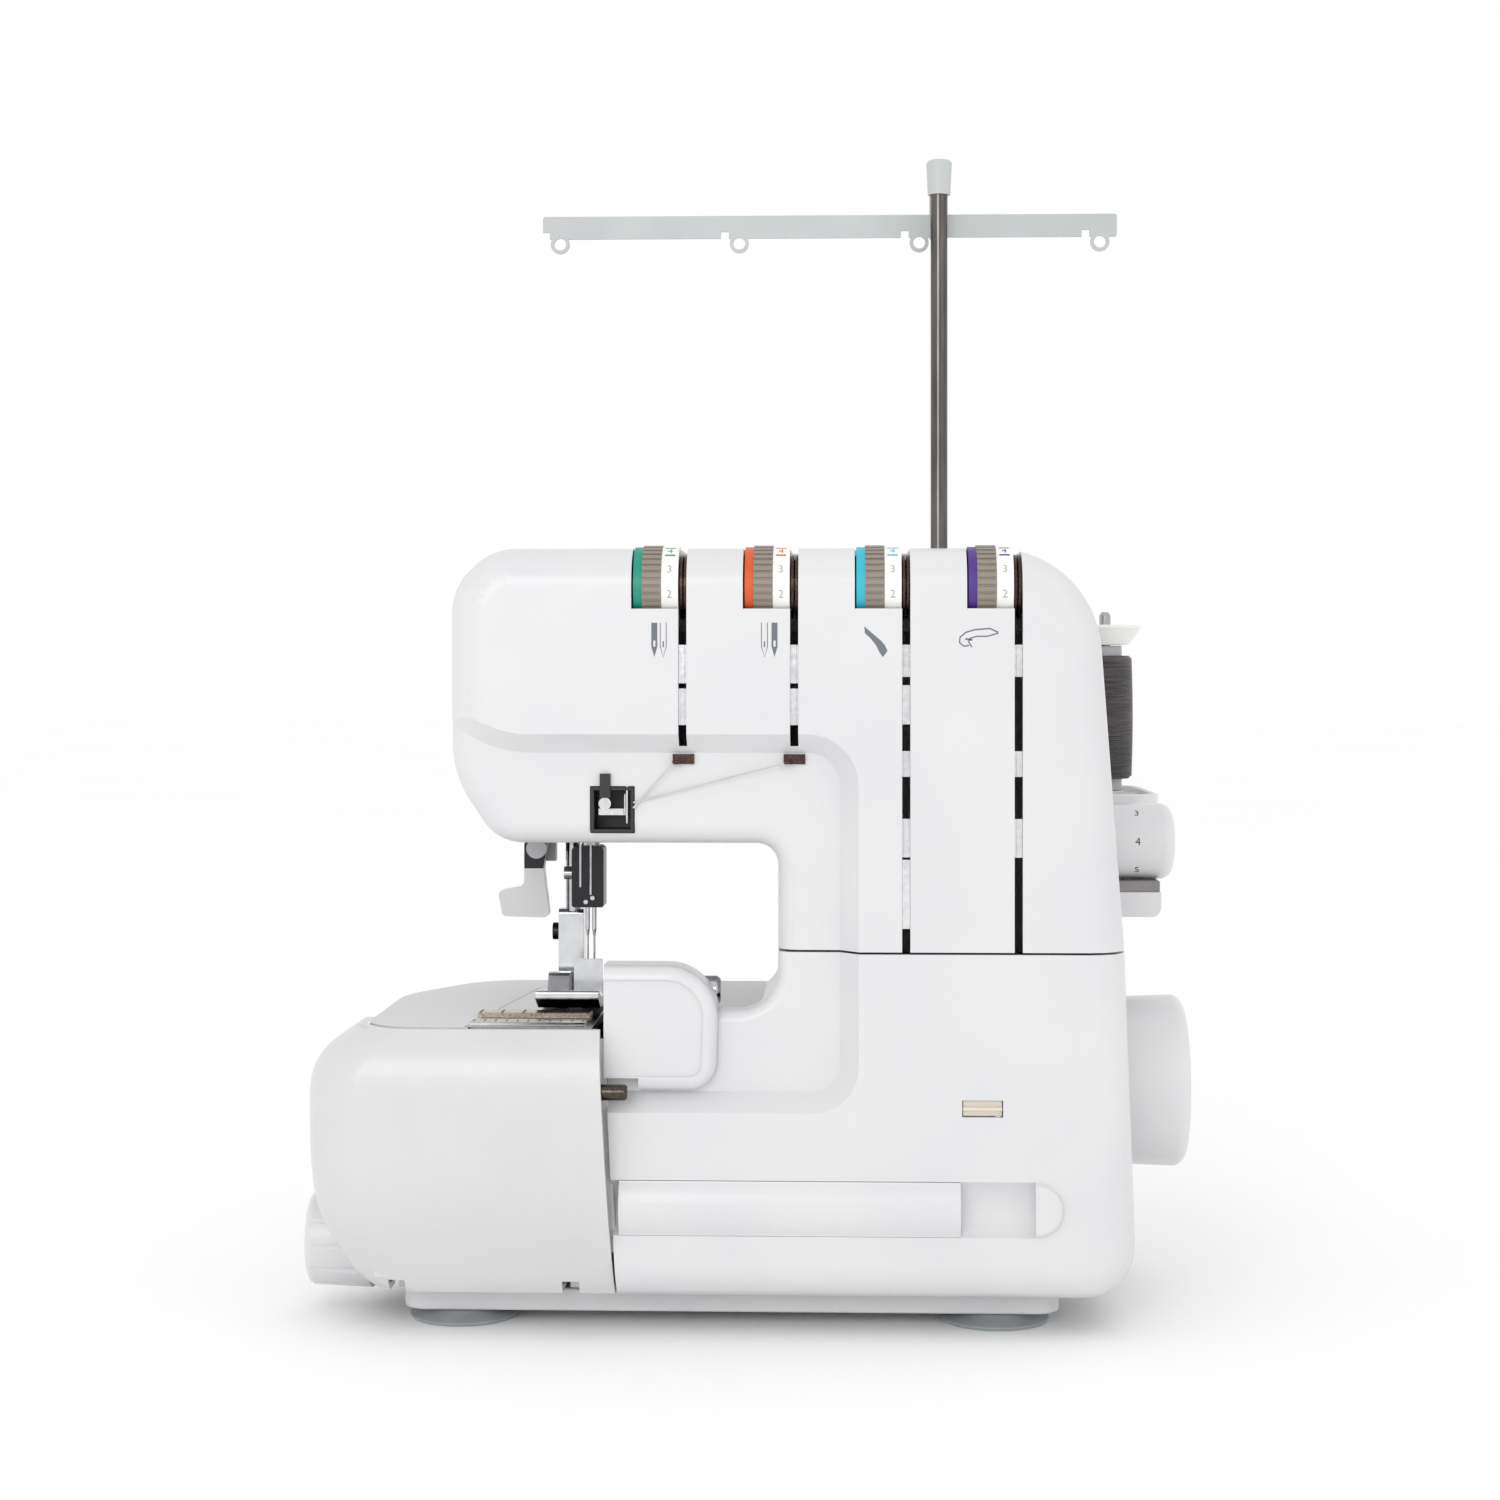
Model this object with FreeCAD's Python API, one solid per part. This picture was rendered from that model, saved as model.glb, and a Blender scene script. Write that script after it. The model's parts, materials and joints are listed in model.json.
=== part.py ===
import FreeCAD, Part
import math
import os
from FreeCAD import Vector

os.makedirs("parts", exist_ok=True)

# Overlock sewing machine with four threads, closed and standing ready on its four feet.
# Millimetres. X runs to the right, Y to the back, Z up, and Z = 0 is the table.
# Origin: middle of the whole width and depth, at table height.

# Whole machine
half_width = 172.0
half_depth = 130.0
gap = 0.4
fit = 0.03
wall = 2.5

# Base and feet
base_low = 5.0
base_left = -half_width + 40.0
base_right = half_width - 55.0
base_front = -half_depth + 34.0
base_back = 30.0
base_corner = 10.0
foot_x = [base_left + 22.0, base_right - 24.0]
foot_y = [base_front + 14.5, base_back - 18.0]
foot_r = 20.8
socket_r = 12.0
socket_deep = 2.5

# Body outline seen from the front
base_z = 14.0
seam_z = 143.0
lip_z = 121.0
arm_bottom = 182.5
arm_top = 292.5
needle_x = -64.3
head_reach = 46.9
arm_left = needle_x - head_reach
throat_x = 11.0
side_bottom_x = half_width - 27.6
side_seam_x = half_width - 32.4
shoulder_x = half_width - 43.6
shoulder_round = 40.0
inside_x = half_width - 66.0
bed_left = -half_width + 25.0
throat_corner = 6.0

# Front faces and their depth
cover_y = -half_depth + 10.0
parting_y = -50.0
rear_y = 35.0
step = 8.0
step_run = 7.0
step_x = 41.0
step_top = 223.5
step_low = 84.0
edge_round = 14.0
band_round = 8.0
rear_round = 12.0
rim_steps = 4
window_x1 = side_bottom_x - 50.5
window_x0 = window_x1 - 15.0
window_z = 83.0
window_tall = 6.2
tube_x0 = -48.0
tube_x1 = side_bottom_x - 28.4
tube_z = 49.0
tube_tall = 20.6
tube_r = 12.0
tube_sink = 6.2

# Looper cover
crest_z = 87.0
door_top = 114.5
door_bottom = 15.5
door_left = -half_width + 8.0
door_right = -54.4
door_corner = 22.0
door_axis_y = -half_depth + 26.0
door_axis_z = 26.0
door_back = door_axis_y + 18.0
wing_y = door_back + 0.8
relief_tall = 7.0
hinge_x = [door_left + 31.0, door_right - 13.6]
hinge_r = 2.0
ear_wide = 5.6
ear_r = 4.5
bracket_wide = 4.6
latch_y = cover_y - 3.2
latch_z = 92.0
latch_r = 3.0
latch_reach = 10.4

# Bed
bed_z = 115.0
deck_z = 111.4
plate_right = -57.5
plate_left = -105.0
plate_back = 12.0

# Thread slots and tension wheels
slot_first = -24.0
slot_pitch = (half_width - 72.4 - slot_first) / 3
slot_half = 1.5
wheel_r = 15.5
wheel_wide = 16.8
wheel_z = 278.2
wheel_y = cover_y + 16.0
spindle_r = 3.0
disc_r = 12.0
colour_wide = 3.2
grip_end = 10.4
knurls = 36
knurl_deep = 0.5
guide_top = 256.5
take_x0 = -58.5
take_x1 = -42.5
take_z0 = 186.8
take_z1 = 203.7
thread_r = 0.35
leaf_reach = 3.6

# Casting
frame_front = -44.0
frame_back = 20.0
floor_thick = 6.4
bearing_x = [bed_left + 25.0, throat_x + 11.0, side_bottom_x - 38.5]
bearing_thick = 10.0
web_y = 0.0
web_thick = 8.0
web_left = arm_left + 23.0
head_z = 188.0
head_thick = 10.0
crown_z = 256.0
crown_thick = 12.0
head_front = -62.0
head_right = -54.0
beam_y = cover_y + 46.0
beam_deep = 10.0
beam_tall = 12.0
beam_drop = 16.2
spindle_boss = 5.5
lug_thick = 3.4
carrier_y = -22.0
carrier_thick = 8.0
carrier_top = 70.0

# Shaft line
shaft_y = -30.0
shaft_z = 83.5
shaft_r = 6.0
motor_z = 46.0
belt_x = side_bottom_x - 25.0
belt_wide = 8.0
bush_r = 9.0
motor_x1 = side_bottom_x - 48.5
motor_x0 = bearing_x[1] + bearing_thick + 10.0
motor_r = 24.0
motor_nose_r = 10.0
motor_shaft_r = 4.0
motor_bore = 15.0
motor_pulley_r = 9.0
shaft_pulley_r = 21.0

# Needle and presser
needle_y = -50.0
needle_pitch = 2.6
needle_bar_r = 3.6
presser_x = -72.5
presser_y = -39.0
presser_r = 3.0
rocker_x = 10.0
rocker_z = 235.0
rocker_tilt = 8.0
rocker_shaft_r = 7.0
rocker_boss_y = -12.0
rocker_front = -32.0
rocker_thick = 7.0
needle_bush_r = 6.0
presser_bush_r = 6.5
lever_front = -47.0
lever_back = -39.8
lever_pin_r = 2.5
cross_pin_r = 3.0
clamp_low = 154.0
clamp_tall = 24.0
clamp_left = 7.0
clamp_right = 5.6
needle_r = 0.88
needle_seat = 6.0
knob_z = 13.0
knob_stem_r = 1.5
set_screw_r = 1.0
needle_tip = 124.0
ankle_top = 152.0
ankle_grip = 12.0
ankle_left = presser_x - 5.5
ankle_right = presser_x + 4.5
ankle_screw_z = 143.0
ankle_screw_r = 1.6
foot_left = -83.0
foot_right = -58.6
foot_back = -30.0
foot_front = -80.0
foot_z = 116.2
lever_x = -86.2
lever_z = 176.5

# Loopers, feed and knives
guard_low = 92.0
guard_top = 138.0
guard_round = 4.5
panel_sink = 1.0
feed_top = 108.0
rail_x = [-80.0, -68.5]
rail_wide = 4.5
rail_front = -41.0
rail_back = -16.0
feed_left = -82.0
feed_right = -60.0
feed_deep = 8.0
feed_gap = 0.4
tooth_pitch = 2.5
tooth_rise = 0.5
lower_looper_x = bearing_x[0] + 30.0
upper_looper_x = -28.0
looper_z = 52.0
looper_shaft_r = 5.0
looper_hub_r = 9.0
looper_thick = 2.8
knife_y = -half_depth + 38.0
knife_z = 126.0
knife_shaft_r = 3.5
blade_thick = 1.6
blade_front = -69.0
blade_back = -60.0
lower_blade_x = -57.0
upper_blade_x = -54.0
post_left = -34.0
post_right = -26.0

# Vents, mains inlet and switch
vent_x = 62.0
vent_pitch = 9.0
vent_wide = 4.0
vent_count = 6
vent_low = 42.0
vent_top = 74.0
inlet_y = 7.0
inlet_wide = 14.0
inlet_z = 41.0
inlet_tall = 24.0
switch_z = 70.0
switch_tall = 22.0
inlet_deep = 16.0
flange_edge = 1.6
flange_thick = 1.6
contact_gap = 8.0
contact_r = 1.2
axle_r = 1.5

# Thread stand
tray_z = 188.0
pin_y = half_depth - 38.0
pin_first = -89.0
pin_pitch = (half_width - 20.1 - pin_first) / 3
pole_x = 77.0
pole_y = half_depth - 68.0
pole_r = 3.7
pole_top = 466.0
pole_tube_top = 297.0
pin_r = 2.5
pin_root_r = 3.2
tray_rim = 6.4
boss_top = 5.6
pole_tube_r = 5.0
core_r = 7.5
core_top = 258.0
winding_low = 199.0
winding_top = 253.6
winding_r = 12.3
cap_r = 16.0
pin_top = 273.0
bar_z = pole_top - 29.0
bar_left = -97.0
bar_right = 155.0
bar_tall = 10.0
bar_thick = 1.6
bar_set_back = 8.2
eye_r = 4.2
eye_hole_r = 2.6

# Side dials
length_y = -10.0
length_z = 177.6
length_r = 15.3
dial_shaft_r = 4.0
rest_drop = 30.0
rest_tall = 10.0
pad_tall = 4.4
feed_y = door_back + 20.0
feed_z = 26.0
feed_r = 19.0


def box(x0, x1, y0, y1, z0, z1):
    return Part.makeBox(x1 - x0, y1 - y0, z1 - z0, Vector(x0, y0, z0))


def rod_x(x0, x1, y, z, r):
    return Part.makeCylinder(r, x1 - x0, Vector(x0, y, z), Vector(1, 0, 0))


def rod_y(x, y0, y1, z, r):
    return Part.makeCylinder(r, y1 - y0, Vector(x, y0, z), Vector(0, 1, 0))


def rod_z(x, y, z0, z1, r):
    return Part.makeCylinder(r, z1 - z0, Vector(x, y, z0), Vector(0, 0, 1))


def rounded_wire(corners, place):
    """Closed outline of straight sides with an arc at each corner (u, v, radius)."""
    count = len(corners)
    starts = []
    middles = []
    ends = []
    for i in range(count):
        u, v, r = corners[i]
        back = corners[i - 1]
        ahead = corners[(i + 1) % count]
        a = Vector(back[0] - u, back[1] - v, 0).normalize()
        b = Vector(ahead[0] - u, ahead[1] - v, 0).normalize()
        half = a.getAngle(b) / 2
        reach = r / math.tan(half)
        corner = Vector(u, v, 0)
        starts.append(corner + a * reach)
        ends.append(corner + b * reach)
        middle = (a + b).normalize()
        middles.append(corner + middle * (r / math.sin(half) - r))
    edges = []
    for i in range(count):
        if corners[i][2] > 0:
            three = [place(p.x, p.y) for p in (starts[i], middles[i], ends[i])]
            edges.append(Part.Arc(*three).toShape())
        following = starts[(i + 1) % count]
        if ends[i].distanceToPoint(following) > 0.001:
            edges.append(Part.makeLine(place(ends[i].x, ends[i].y), place(following.x, following.y)))
    return Part.Wire(edges)


def inset(corners, d, sides=None):
    """The same outline with its sides moved inward by d, each times its share in sides.

    Corners run anticlockwise, and side i starts at corner i.
    """
    count = len(corners)
    share = sides or [1] * count
    moved = []
    for i in range(count):
        u, v, r = corners[i]
        back = corners[i - 1]
        ahead = corners[(i + 1) % count]
        a = Vector(u - back[0], v - back[1], 0).normalize()
        b = Vector(ahead[0] - u, ahead[1] - v, 0).normalize()
        turn = a.x * b.y - a.y * b.x
        before = d * share[i - 1]
        after = d * share[i]
        along = (before * a.dot(b) - after) / turn
        point = Vector(u - a.y * before + a.x * along, v + a.x * before + a.y * along, 0)
        new_r = 0
        if r > 0:
            new_r = r - math.copysign(d * min(share[i - 1], share[i]), turn)
        moved.append((point.x, point.y, new_r))
    return moved


def prism_y(corners, y0, y1):
    wire = rounded_wire(corners, lambda u, v: Vector(u, y0, v))
    return Part.Face(wire).extrude(Vector(0, y1 - y0, 0))


def prism_z(corners, z0, z1):
    wire = rounded_wire(corners, lambda u, v: Vector(u, v, z0))
    return Part.Face(wire).extrude(Vector(0, 0, z1 - z0))


def prism_x(corners, x0, x1):
    wire = rounded_wire(corners, lambda u, v: Vector(x0, u, v))
    return Part.Face(wire).extrude(Vector(x1 - x0, 0, 0))


def turned_x(profile, y, z):
    """Solid of revolution round an X axis through (y, z); profile corners are (x, radius, round)."""
    wire = rounded_wire(profile, lambda u, v: Vector(u, y, z + v))
    return Part.Face(wire).revolve(Vector(0, y, z), Vector(1, 0, 0), 360)


def turned_z(profile, x, y):
    """Solid of revolution round a Z axis through (x, y); profile corners are (radius, z, round)."""
    wire = rounded_wire(profile, lambda u, v: Vector(x + u, y, v))
    return Part.Face(wire).revolve(Vector(x, y, 0), Vector(0, 0, 1), 360)


def joined(shapes):
    return shapes[0].multiFuse(shapes[1:]).removeSplitter()


def save(name, shape):
    shape.exportStep("parts/" + name + ".step")


def upper_outline():
    return [
        (throat_x, seam_z + gap, 0),
        (side_seam_x, seam_z + gap, 0),
        (shoulder_x, arm_top, shoulder_round),
        (arm_left + 15, arm_top, 22),
        (arm_left, arm_top - 14.5, 22),
        (arm_left, arm_bottom + 25.5, 40),
        (arm_left + 17, arm_bottom, 18),
        (throat_x, arm_bottom, 8),
    ]


def lower_outline():
    return [
        (door_right + 6, base_z, 0),
        (side_bottom_x, base_z, 20),
        (side_seam_x, seam_z - gap, 0),
        (throat_x, seam_z - gap, 0),
        (throat_x, lip_z, 15),
        (door_right + 0.9, lip_z, 0),
    ]


def rear_outline():
    return [
        (bed_left, base_z, 0),
        (side_bottom_x, base_z, 20),
        (side_seam_x, seam_z, 200),
        (shoulder_x, arm_top, shoulder_round),
        (arm_left + 15, arm_top, 22),
        (arm_left, arm_top - 14.5, 22),
        (arm_left, arm_bottom + 25.5, 40),
        (arm_left + 17, arm_bottom, 18),
        (throat_x, arm_bottom, 8),
        (throat_x, deck_z, throat_corner),
        (bed_left, deck_z, 0),
    ]


def rounded_block(corners, y_face, y_end, radius, sides, steps):
    """Body extruded from its face to y_end, with a rounded rim at the face on the sides given."""
    way = math.copysign(1, y_end - y_face)
    sections = []
    for i in range(steps + 1):
        angle = math.radians(90 * i / steps)
        y = y_face + way * radius * (1 - math.cos(angle))
        outline = inset(corners, radius * (1 - math.sin(angle)), sides)
        sections.append(rounded_wire(outline, lambda u, v: Vector(u, y, v)))
    rim = Part.makeLoft(sections, True, True)
    return rim.fuse(prism_y(corners, y_face + way * radius, y_end))


def recess_tool(corners, grow):
    """Space in front of the sunk part of the front face, with a sloped border."""
    sections = []
    levels = [(-15, -grow), (0, -grow), (step, step_run - grow), (95, step_run - grow)]
    for depth, move in levels:
        outline = inset(corners, move)
        sections.append(rounded_wire(outline, lambda u, v: Vector(u, cover_y + depth, v)))
    return Part.makeLoft(sections, True, True)


def slot_x(i):
    return slot_first + slot_pitch * i


def slot_low(i):
    if i < 2:
        return step_top - 4.5
    return seam_z - 5


def upper_front_cover():
    recess = [
        (-170, seam_z - 60, 0),
        (step_x, seam_z - 60, 0),
        (step_x, step_top, 19),
        (arm_left - 5, step_top, 35),
        (arm_left - 5, step_top + 60, 0),
        (-170, step_top + 60, 0),
    ]
    outer = upper_outline()
    round_sides = [0] + [1] * (len(outer) - 1)
    y_end = parting_y - gap / 2
    raised = rounded_block(outer, cover_y, y_end, edge_round, round_sides, rim_steps)
    band = rounded_block(outer, cover_y + step, y_end, band_round, round_sides, rim_steps)
    cover = band.fuse(raised.cut(recess_tool(recess, 0)))
    inner = inset(outer, wall)
    inner[0] = (inner[0][0], seam_z - 12, 0)
    inner[1] = (inner[1][0], seam_z - 12, 0)
    hollow = rounded_block(inner, cover_y + step + wall, y_end + 9, band_round - wall, round_sides, 1)
    front = rounded_block(inner, cover_y + wall, y_end + 9, edge_round - wall, round_sides, 1)
    cover = cover.cut(hollow).cut(front.cut(recess_tool(recess, wall)))
    cuts = [
        box(arm_left + 17, head_right + 4, head_front - 8, parting_y + 5, arm_bottom - 3, arm_bottom + 9),
        box(take_x0 - 0.3, take_x1 + 0.3, cover_y, cover_y + 25, take_z0 - 0.3, take_z1 + 0.3),
    ]
    for i in range(4):
        x = slot_x(i)
        right = x - slot_half
        left = right - wheel_wide
        cuts.append(box(right, x + slot_half, cover_y - 15, parting_y - 12, slot_low(i), arm_top + 5))
        cuts.append(box(left - 0.6, right + 0.2, cover_y - 15, wheel_y + 10.6, wheel_z - 8.4, arm_top + 5))
    return cover.cut(cuts)


def lower_front_cover():
    recess = [
        (-170, step_low, 0),
        (step_x, step_low, 17),
        (step_x, seam_z + 60, 0),
        (-170, seam_z + 60, 0),
    ]
    outer = lower_outline()
    y_end = parting_y - gap / 2
    raised = rounded_block(outer, cover_y, y_end, edge_round, [1, 1, 0, 0, 0, 0], rim_steps)
    band = rounded_block(outer, cover_y + step, y_end, 5, [0, 0, 0, 1, 1, 0], rim_steps)
    band = band.common(box(door_right, step_x + 5, cover_y, parting_y, step_low - 8, seam_z + 1))
    cover = band.fuse(raised.cut(recess_tool(recess, 0)))
    inner = inset(outer, wall)
    inner[2] = (inner[2][0], seam_z + 12, 0)
    inner[3] = (inner[3][0], seam_z + 12, 0)
    hollow = prism_y(inner, cover_y + edge_round, y_end + 9)
    front = rounded_block(inner, cover_y + wall, y_end + 9, edge_round - wall, [1, 1, 0, 0, 0, 0], 1)
    cover = cover.cut(hollow).cut(front.cut(recess_tool(recess, wall)))
    channel = rod_x(tube_x0, tube_x1 - tube_tall / 2 + wall, cover_y - tube_sink, tube_z, tube_r + wall)
    channel = channel.common(box(tube_x0, tube_x1, cover_y + 1, cover_y + 20, 0, seam_z))
    cover = cover.fuse(channel).fuse(tube_stop())
    cuts = [
        box(door_right, throat_x - throat_corner, door_axis_y, parting_y + 5, deck_z, lip_z + 5),
        box(door_right - 2, door_right + 9, cover_y + 19, parting_y + 5, base_z - 2, lip_z),
        box(door_right + 9, side_bottom_x - 12, cover_y + 19, parting_y + 5, base_z - 2, base_z + 5),
        box(window_x0, window_x1, cover_y - 2, cover_y + 6, window_z, window_z + window_tall),
        rod_x(tube_x0 - 20, tube_x1 - tube_tall / 2, cover_y - tube_sink, tube_z, tube_r),
    ]
    return cover.cut(cuts)


def bed_plan():
    """Plan of the bed behind the looper cover, rounded at the back left."""
    return [
        (bed_left, wing_y, 0),
        (throat_x - 20, wing_y, 0),
        (throat_x - 20, rear_y, 0),
        (bed_left + 29, rear_y, 30),
        (bed_left + 1, -20, 60),
    ]


def bed_corner(inside):
    """Tool that takes away all that lies left of the bed's plan, moved inward by some distance."""
    corner = box(bed_left - 5, bed_left + 50, wing_y - 5, rear_y + 5, base_z - 5, deck_z + 5)
    return corner.cut(prism_z(inset(bed_plan(), inside), base_z - 6, deck_z + 6))


def rear_cover():
    outer = rear_outline()
    sides = [1] * (len(outer) - 1) + [0]
    y_start = parting_y + gap / 2
    cover = rounded_block(outer, rear_y, y_start, rear_round, sides, rim_steps)
    side_wall = box(bed_left, bed_left + 30, wing_y, y_start + 1, base_z, deck_z)
    cover = cover.fuse(side_wall).cut(bed_corner(0))
    inner = inset(outer, wall)
    hollow = rounded_block(inner, rear_y - wall, y_start - 9, rear_round - wall, sides, 1)
    hollow = hollow.cut(bed_corner(wall))
    cuts = [
        hollow,
        box(bed_left + wall, -70, wing_y - 10, y_start + 1, base_z - 2, deck_z + 2),
        box(bed_left + 12, side_bottom_x - 14, wing_y - 10, rear_y - 14, base_z - 2, base_z + 5),
        box(bed_left + 12, throat_x - 24, wing_y - 10, 4, deck_z - 6, deck_z + 3),
        box(arm_left + 17, head_right + 4, y_start - 2, -18, arm_bottom - 3, arm_bottom + 9),
        rod_x(inside_x, half_width, shaft_y, shaft_z, 12),
        rod_x(inside_x, half_width, length_y, length_z, dial_shaft_r + fit),
        rod_x(bed_left - 5, bed_left + 5, feed_y, feed_z, dial_shaft_r + fit),
        box(inside_x, half_width, inlet_y, inlet_y + inlet_wide, inlet_z, inlet_z + inlet_tall),
        box(inside_x, half_width, inlet_y, inlet_y + inlet_wide, switch_z, switch_z + switch_tall),
    ]
    for i in range(vent_count):
        x = vent_x + vent_pitch * i
        cuts.append(box(x, x + vent_wide, rear_y - 9, rear_y + 5, vent_low, vent_top))
    return cover.cut(cuts)


def door_face(z):
    """Front of the looper cover at a height: fullest at the crest, rounded in above and below."""
    if z < crest_z:
        return -half_depth + 18 * ((crest_z - z) / (crest_z - door_bottom)) ** 2.5
    return -half_depth + 9 * ((z - crest_z) / (door_top - crest_z)) ** 3


def door_side(z):
    """Left end of the looper cover at a height."""
    if z < crest_z:
        return door_left + 20 * ((crest_z - z) / (crest_z - door_bottom)) ** 3.6
    return door_left + 17 * ((z - crest_z) / (door_top - crest_z)) ** 3


def door_edge(z):
    """Right end of the looper cover at a height."""
    return door_right + 5 * (door_top - z) / (door_top - door_bottom)


def door_body(inside, heights, ruled):
    """Cushion shape lofted through plans at several heights, smaller by the wall for the inside."""
    sections = []
    for z in heights:
        plan = [
            (door_side(z) + inside, door_face(z) + inside, door_corner - inside),
            (door_edge(z) + inside * 8, door_face(z) + inside, 0),
            (door_edge(z) + inside * 8, door_back + inside * 8, 0),
            (door_side(z) + inside, door_back + inside * 8, 0),
        ]
        sections.append(rounded_wire(plan, lambda u, v: Vector(u, v, z)))
    return Part.makeLoft(sections, True, ruled)


def looper_cover():
    """Thin cushion-shaped shell with two hinge ears inside and a boss for the latch pin."""
    tall = door_top - door_bottom
    shares = [0, 0.1, 0.25, 0.5, 0.72, 0.84, 0.93, 1]
    outer = door_body(0, [door_bottom + tall * s for s in shares], False)
    low = door_bottom + wall
    inner = door_body(wall, [low + (tall + 1.5) * s for s in shares], True)
    relief_top = door_bottom + relief_tall
    rear = box(door_left - 13, door_right + 14, door_axis_y + 6, door_back + 5, door_bottom - 3, relief_top)
    cover = outer.cut([inner, rear])
    for x in hinge_x:
        high = door_bottom + 5
        slot = box(x - 1, x + bracket_wide + 0.8, door_axis_y - 14, door_back, door_bottom - 2, high)
        x1 = x - gap
        ear = rod_x(x1 - ear_wide, x1, door_axis_y, door_axis_z, ear_r)
        arm = box(x1 - ear_wide, x1, door_axis_y - 11, door_axis_y, door_axis_z - ear_r, door_axis_z + 3)
        cover = joined([cover.cut(slot), ear, arm])
        cover = cover.cut(rod_x(x1 - ear_wide - 2, x1 + 1.4, door_axis_y, door_axis_z, hinge_r + fit))
    boss = box(door_right - 8, door_right - 1, latch_y - 5.2, latch_y + 4.2, latch_z - 5.5, latch_z + 5.5)
    return cover.fuse(boss).cut(rod_x(door_right - 7, door_right + 2, latch_y, latch_z, latch_r))


def base_plate():
    plan = [
        (base_left, base_front, base_corner),
        (base_right, base_front, base_corner),
        (base_right, base_back, base_corner),
        (base_left, base_back, base_corner),
    ]
    sockets = [rod_z(x, y, base_low - 1, base_low + socket_deep, socket_r) for x, y in foot_places()]
    return prism_z(plan, base_low, base_z - gap).cut(sockets)


def foot_places():
    return [(x, y) for x in foot_x for y in foot_y]


def suction_feet():
    """Four cups, each with a flat ring on the table and a neck that fills its socket."""
    neck = socket_r - fit
    top = base_low + socket_deep
    profile = [
        (0, 1.2, 0),
        (foot_r - 7.8, 1.2, 0),
        (foot_r - 5.8, 0, 0),
        (foot_r - 0.8, 0, 0),
        (foot_r, 1.4, 0),
        (foot_r - 4.8, 2.6, 0),
        (neck + 1, base_low - gap, 0),
        (neck, base_low - gap, 0),
        (neck, top, 0),
        (0, top, 0),
    ]
    return Part.makeCompound([turned_z(profile, x, y) for x, y in foot_places()])


def cloth_plate():
    front = plate_front()
    left = door_side(door_top) + wall + 1.4
    right = throat_x - throat_corner - gap
    plan = [
        (left, front, door_corner - wall),
        (right, front, 0),
        (right, rear_y - 3, 4),
        (bed_left + 31, rear_y - 3, 30),
        (left, -20, 60),
    ]
    plate = prism_z(plan, deck_z + 0.1, bed_z)
    cuts = [
        prism_z(inset(needle_plate_plan(), -0.3), deck_z - 5, bed_z + 5),
        box(plate_right - 1, throat_x + 5, front - 5, door_axis_y + gap, deck_z - 1, bed_z + 1),
        box(plate_right - 1, throat_x - 23, door_axis_y, needle_y - 6, deck_z - 1, bed_z + 1),
    ]
    return plate.cut(cuts)


def plate_front():
    return door_face(door_top) + wall + 0.6


def needle_plate_plan():
    front = plate_front()
    return [
        (plate_left, front, 3),
        (plate_right, front, 0),
        (plate_right, plate_back, 3),
        (plate_left + 15, plate_back, 8),
    ]


def needle_plate():
    """Steel plate with a slot for each feed rail and one for the needles."""
    plate = prism_z(needle_plate_plan(), bed_z - 3, bed_z)
    slots = []
    for x in rail_x:
        slots.append(box(x - 0.6, x + rail_wide + 0.6, rail_front - 4, rail_back + 4, bed_z - 4, bed_z + 1))
    half = needle_pitch / 2 + 2.7
    hole = [
        (needle_x - half, needle_y - 2, 1.5),
        (needle_x + half, needle_y - 2, 1.5),
        (needle_x + half, needle_y + 2, 1.5),
        (needle_x - half, needle_y + 2, 1.5),
    ]
    slots.append(prism_z(hole, bed_z - 4, bed_z + 1))
    return plate.cut(slots)


def seam_gauge():
    """Two strips across the bed, sharing the room between its front and the toe of the foot."""
    strips = []
    front = plate_front()
    room = foot_front + 2.1 - front
    for start, end, tall in ((0.7, 1, 1.6), (0.15, 0.475, 0.9)):
        y0 = front + room * start
        y1 = front + room * end
        outline = [(y0, bed_z, 0), (y1, bed_z, 0), (y1 - 1.5, bed_z + tall, 0), (y0 + 1.5, bed_z + tall, 0)]
        strips.append(prism_x(outline, plate_left + 1, plate_right - 3.5))
    return Part.makeCompound(strips)


def knife_guard():
    """Moulded guard in front of the knives: a rounded shell with a sunk panel inside a raised rim."""
    left = door_right + 1.2
    right = throat_x - 23
    outline = [
        (left, guard_low, 0),
        (right, guard_low, 10),
        (right + 1.5, guard_top, 19),
        (left, guard_top, 0),
    ]
    sides = [1, 1, 1, 0]
    front = cover_y + 0.6
    back = cover_y + step - gap
    shell = rounded_block(outline, front, back, guard_round, sides, 3)
    upright = prism_y(outline, back - 1, back + 11)
    above = box(left - 1, throat_x, back - 2, back + 20, lip_z + gap, guard_top + 20)
    guard = joined([shell, upright.common(above)])
    cuts = [
        prism_y(inset(outline, guard_round + 0.6, sides), front - 1, front + panel_sink),
        box(left + 2.3, right - 9, back - 2, back + 15, lip_z + gap + 0.1, guard_top - wall),
        box(left - 2, left + 12.8, front - 2, back + 1, latch_z - 5, latch_z + 4.6),
    ]
    return guard.cut(cuts)


def tool_tube():
    """Half-round storage tube lying in the channel of the lower cover, bulging out of it."""
    right = window_x0 - 0.5
    bulge_r = 16.0
    reach = tube_tall / 2 - 0.5
    bulge_y = cover_y + math.sqrt(bulge_r * bulge_r - reach * reach)
    bulge = rod_x(tube_x0 + 0.5, right, bulge_y, tube_z, bulge_r)
    bulge = bulge.common(box(tube_x0, right, cover_y - 9, cover_y, tube_z - 20, tube_z + 20))
    seat = rod_x(tube_x0 + 0.5, right, cover_y - tube_sink, tube_z, tube_r - gap / 2)
    seat = seat.common(box(tube_x0, right, cover_y - 0.2, cover_y + 9, tube_z - 20, tube_z + 20))
    return joined([bulge, seat])


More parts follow.
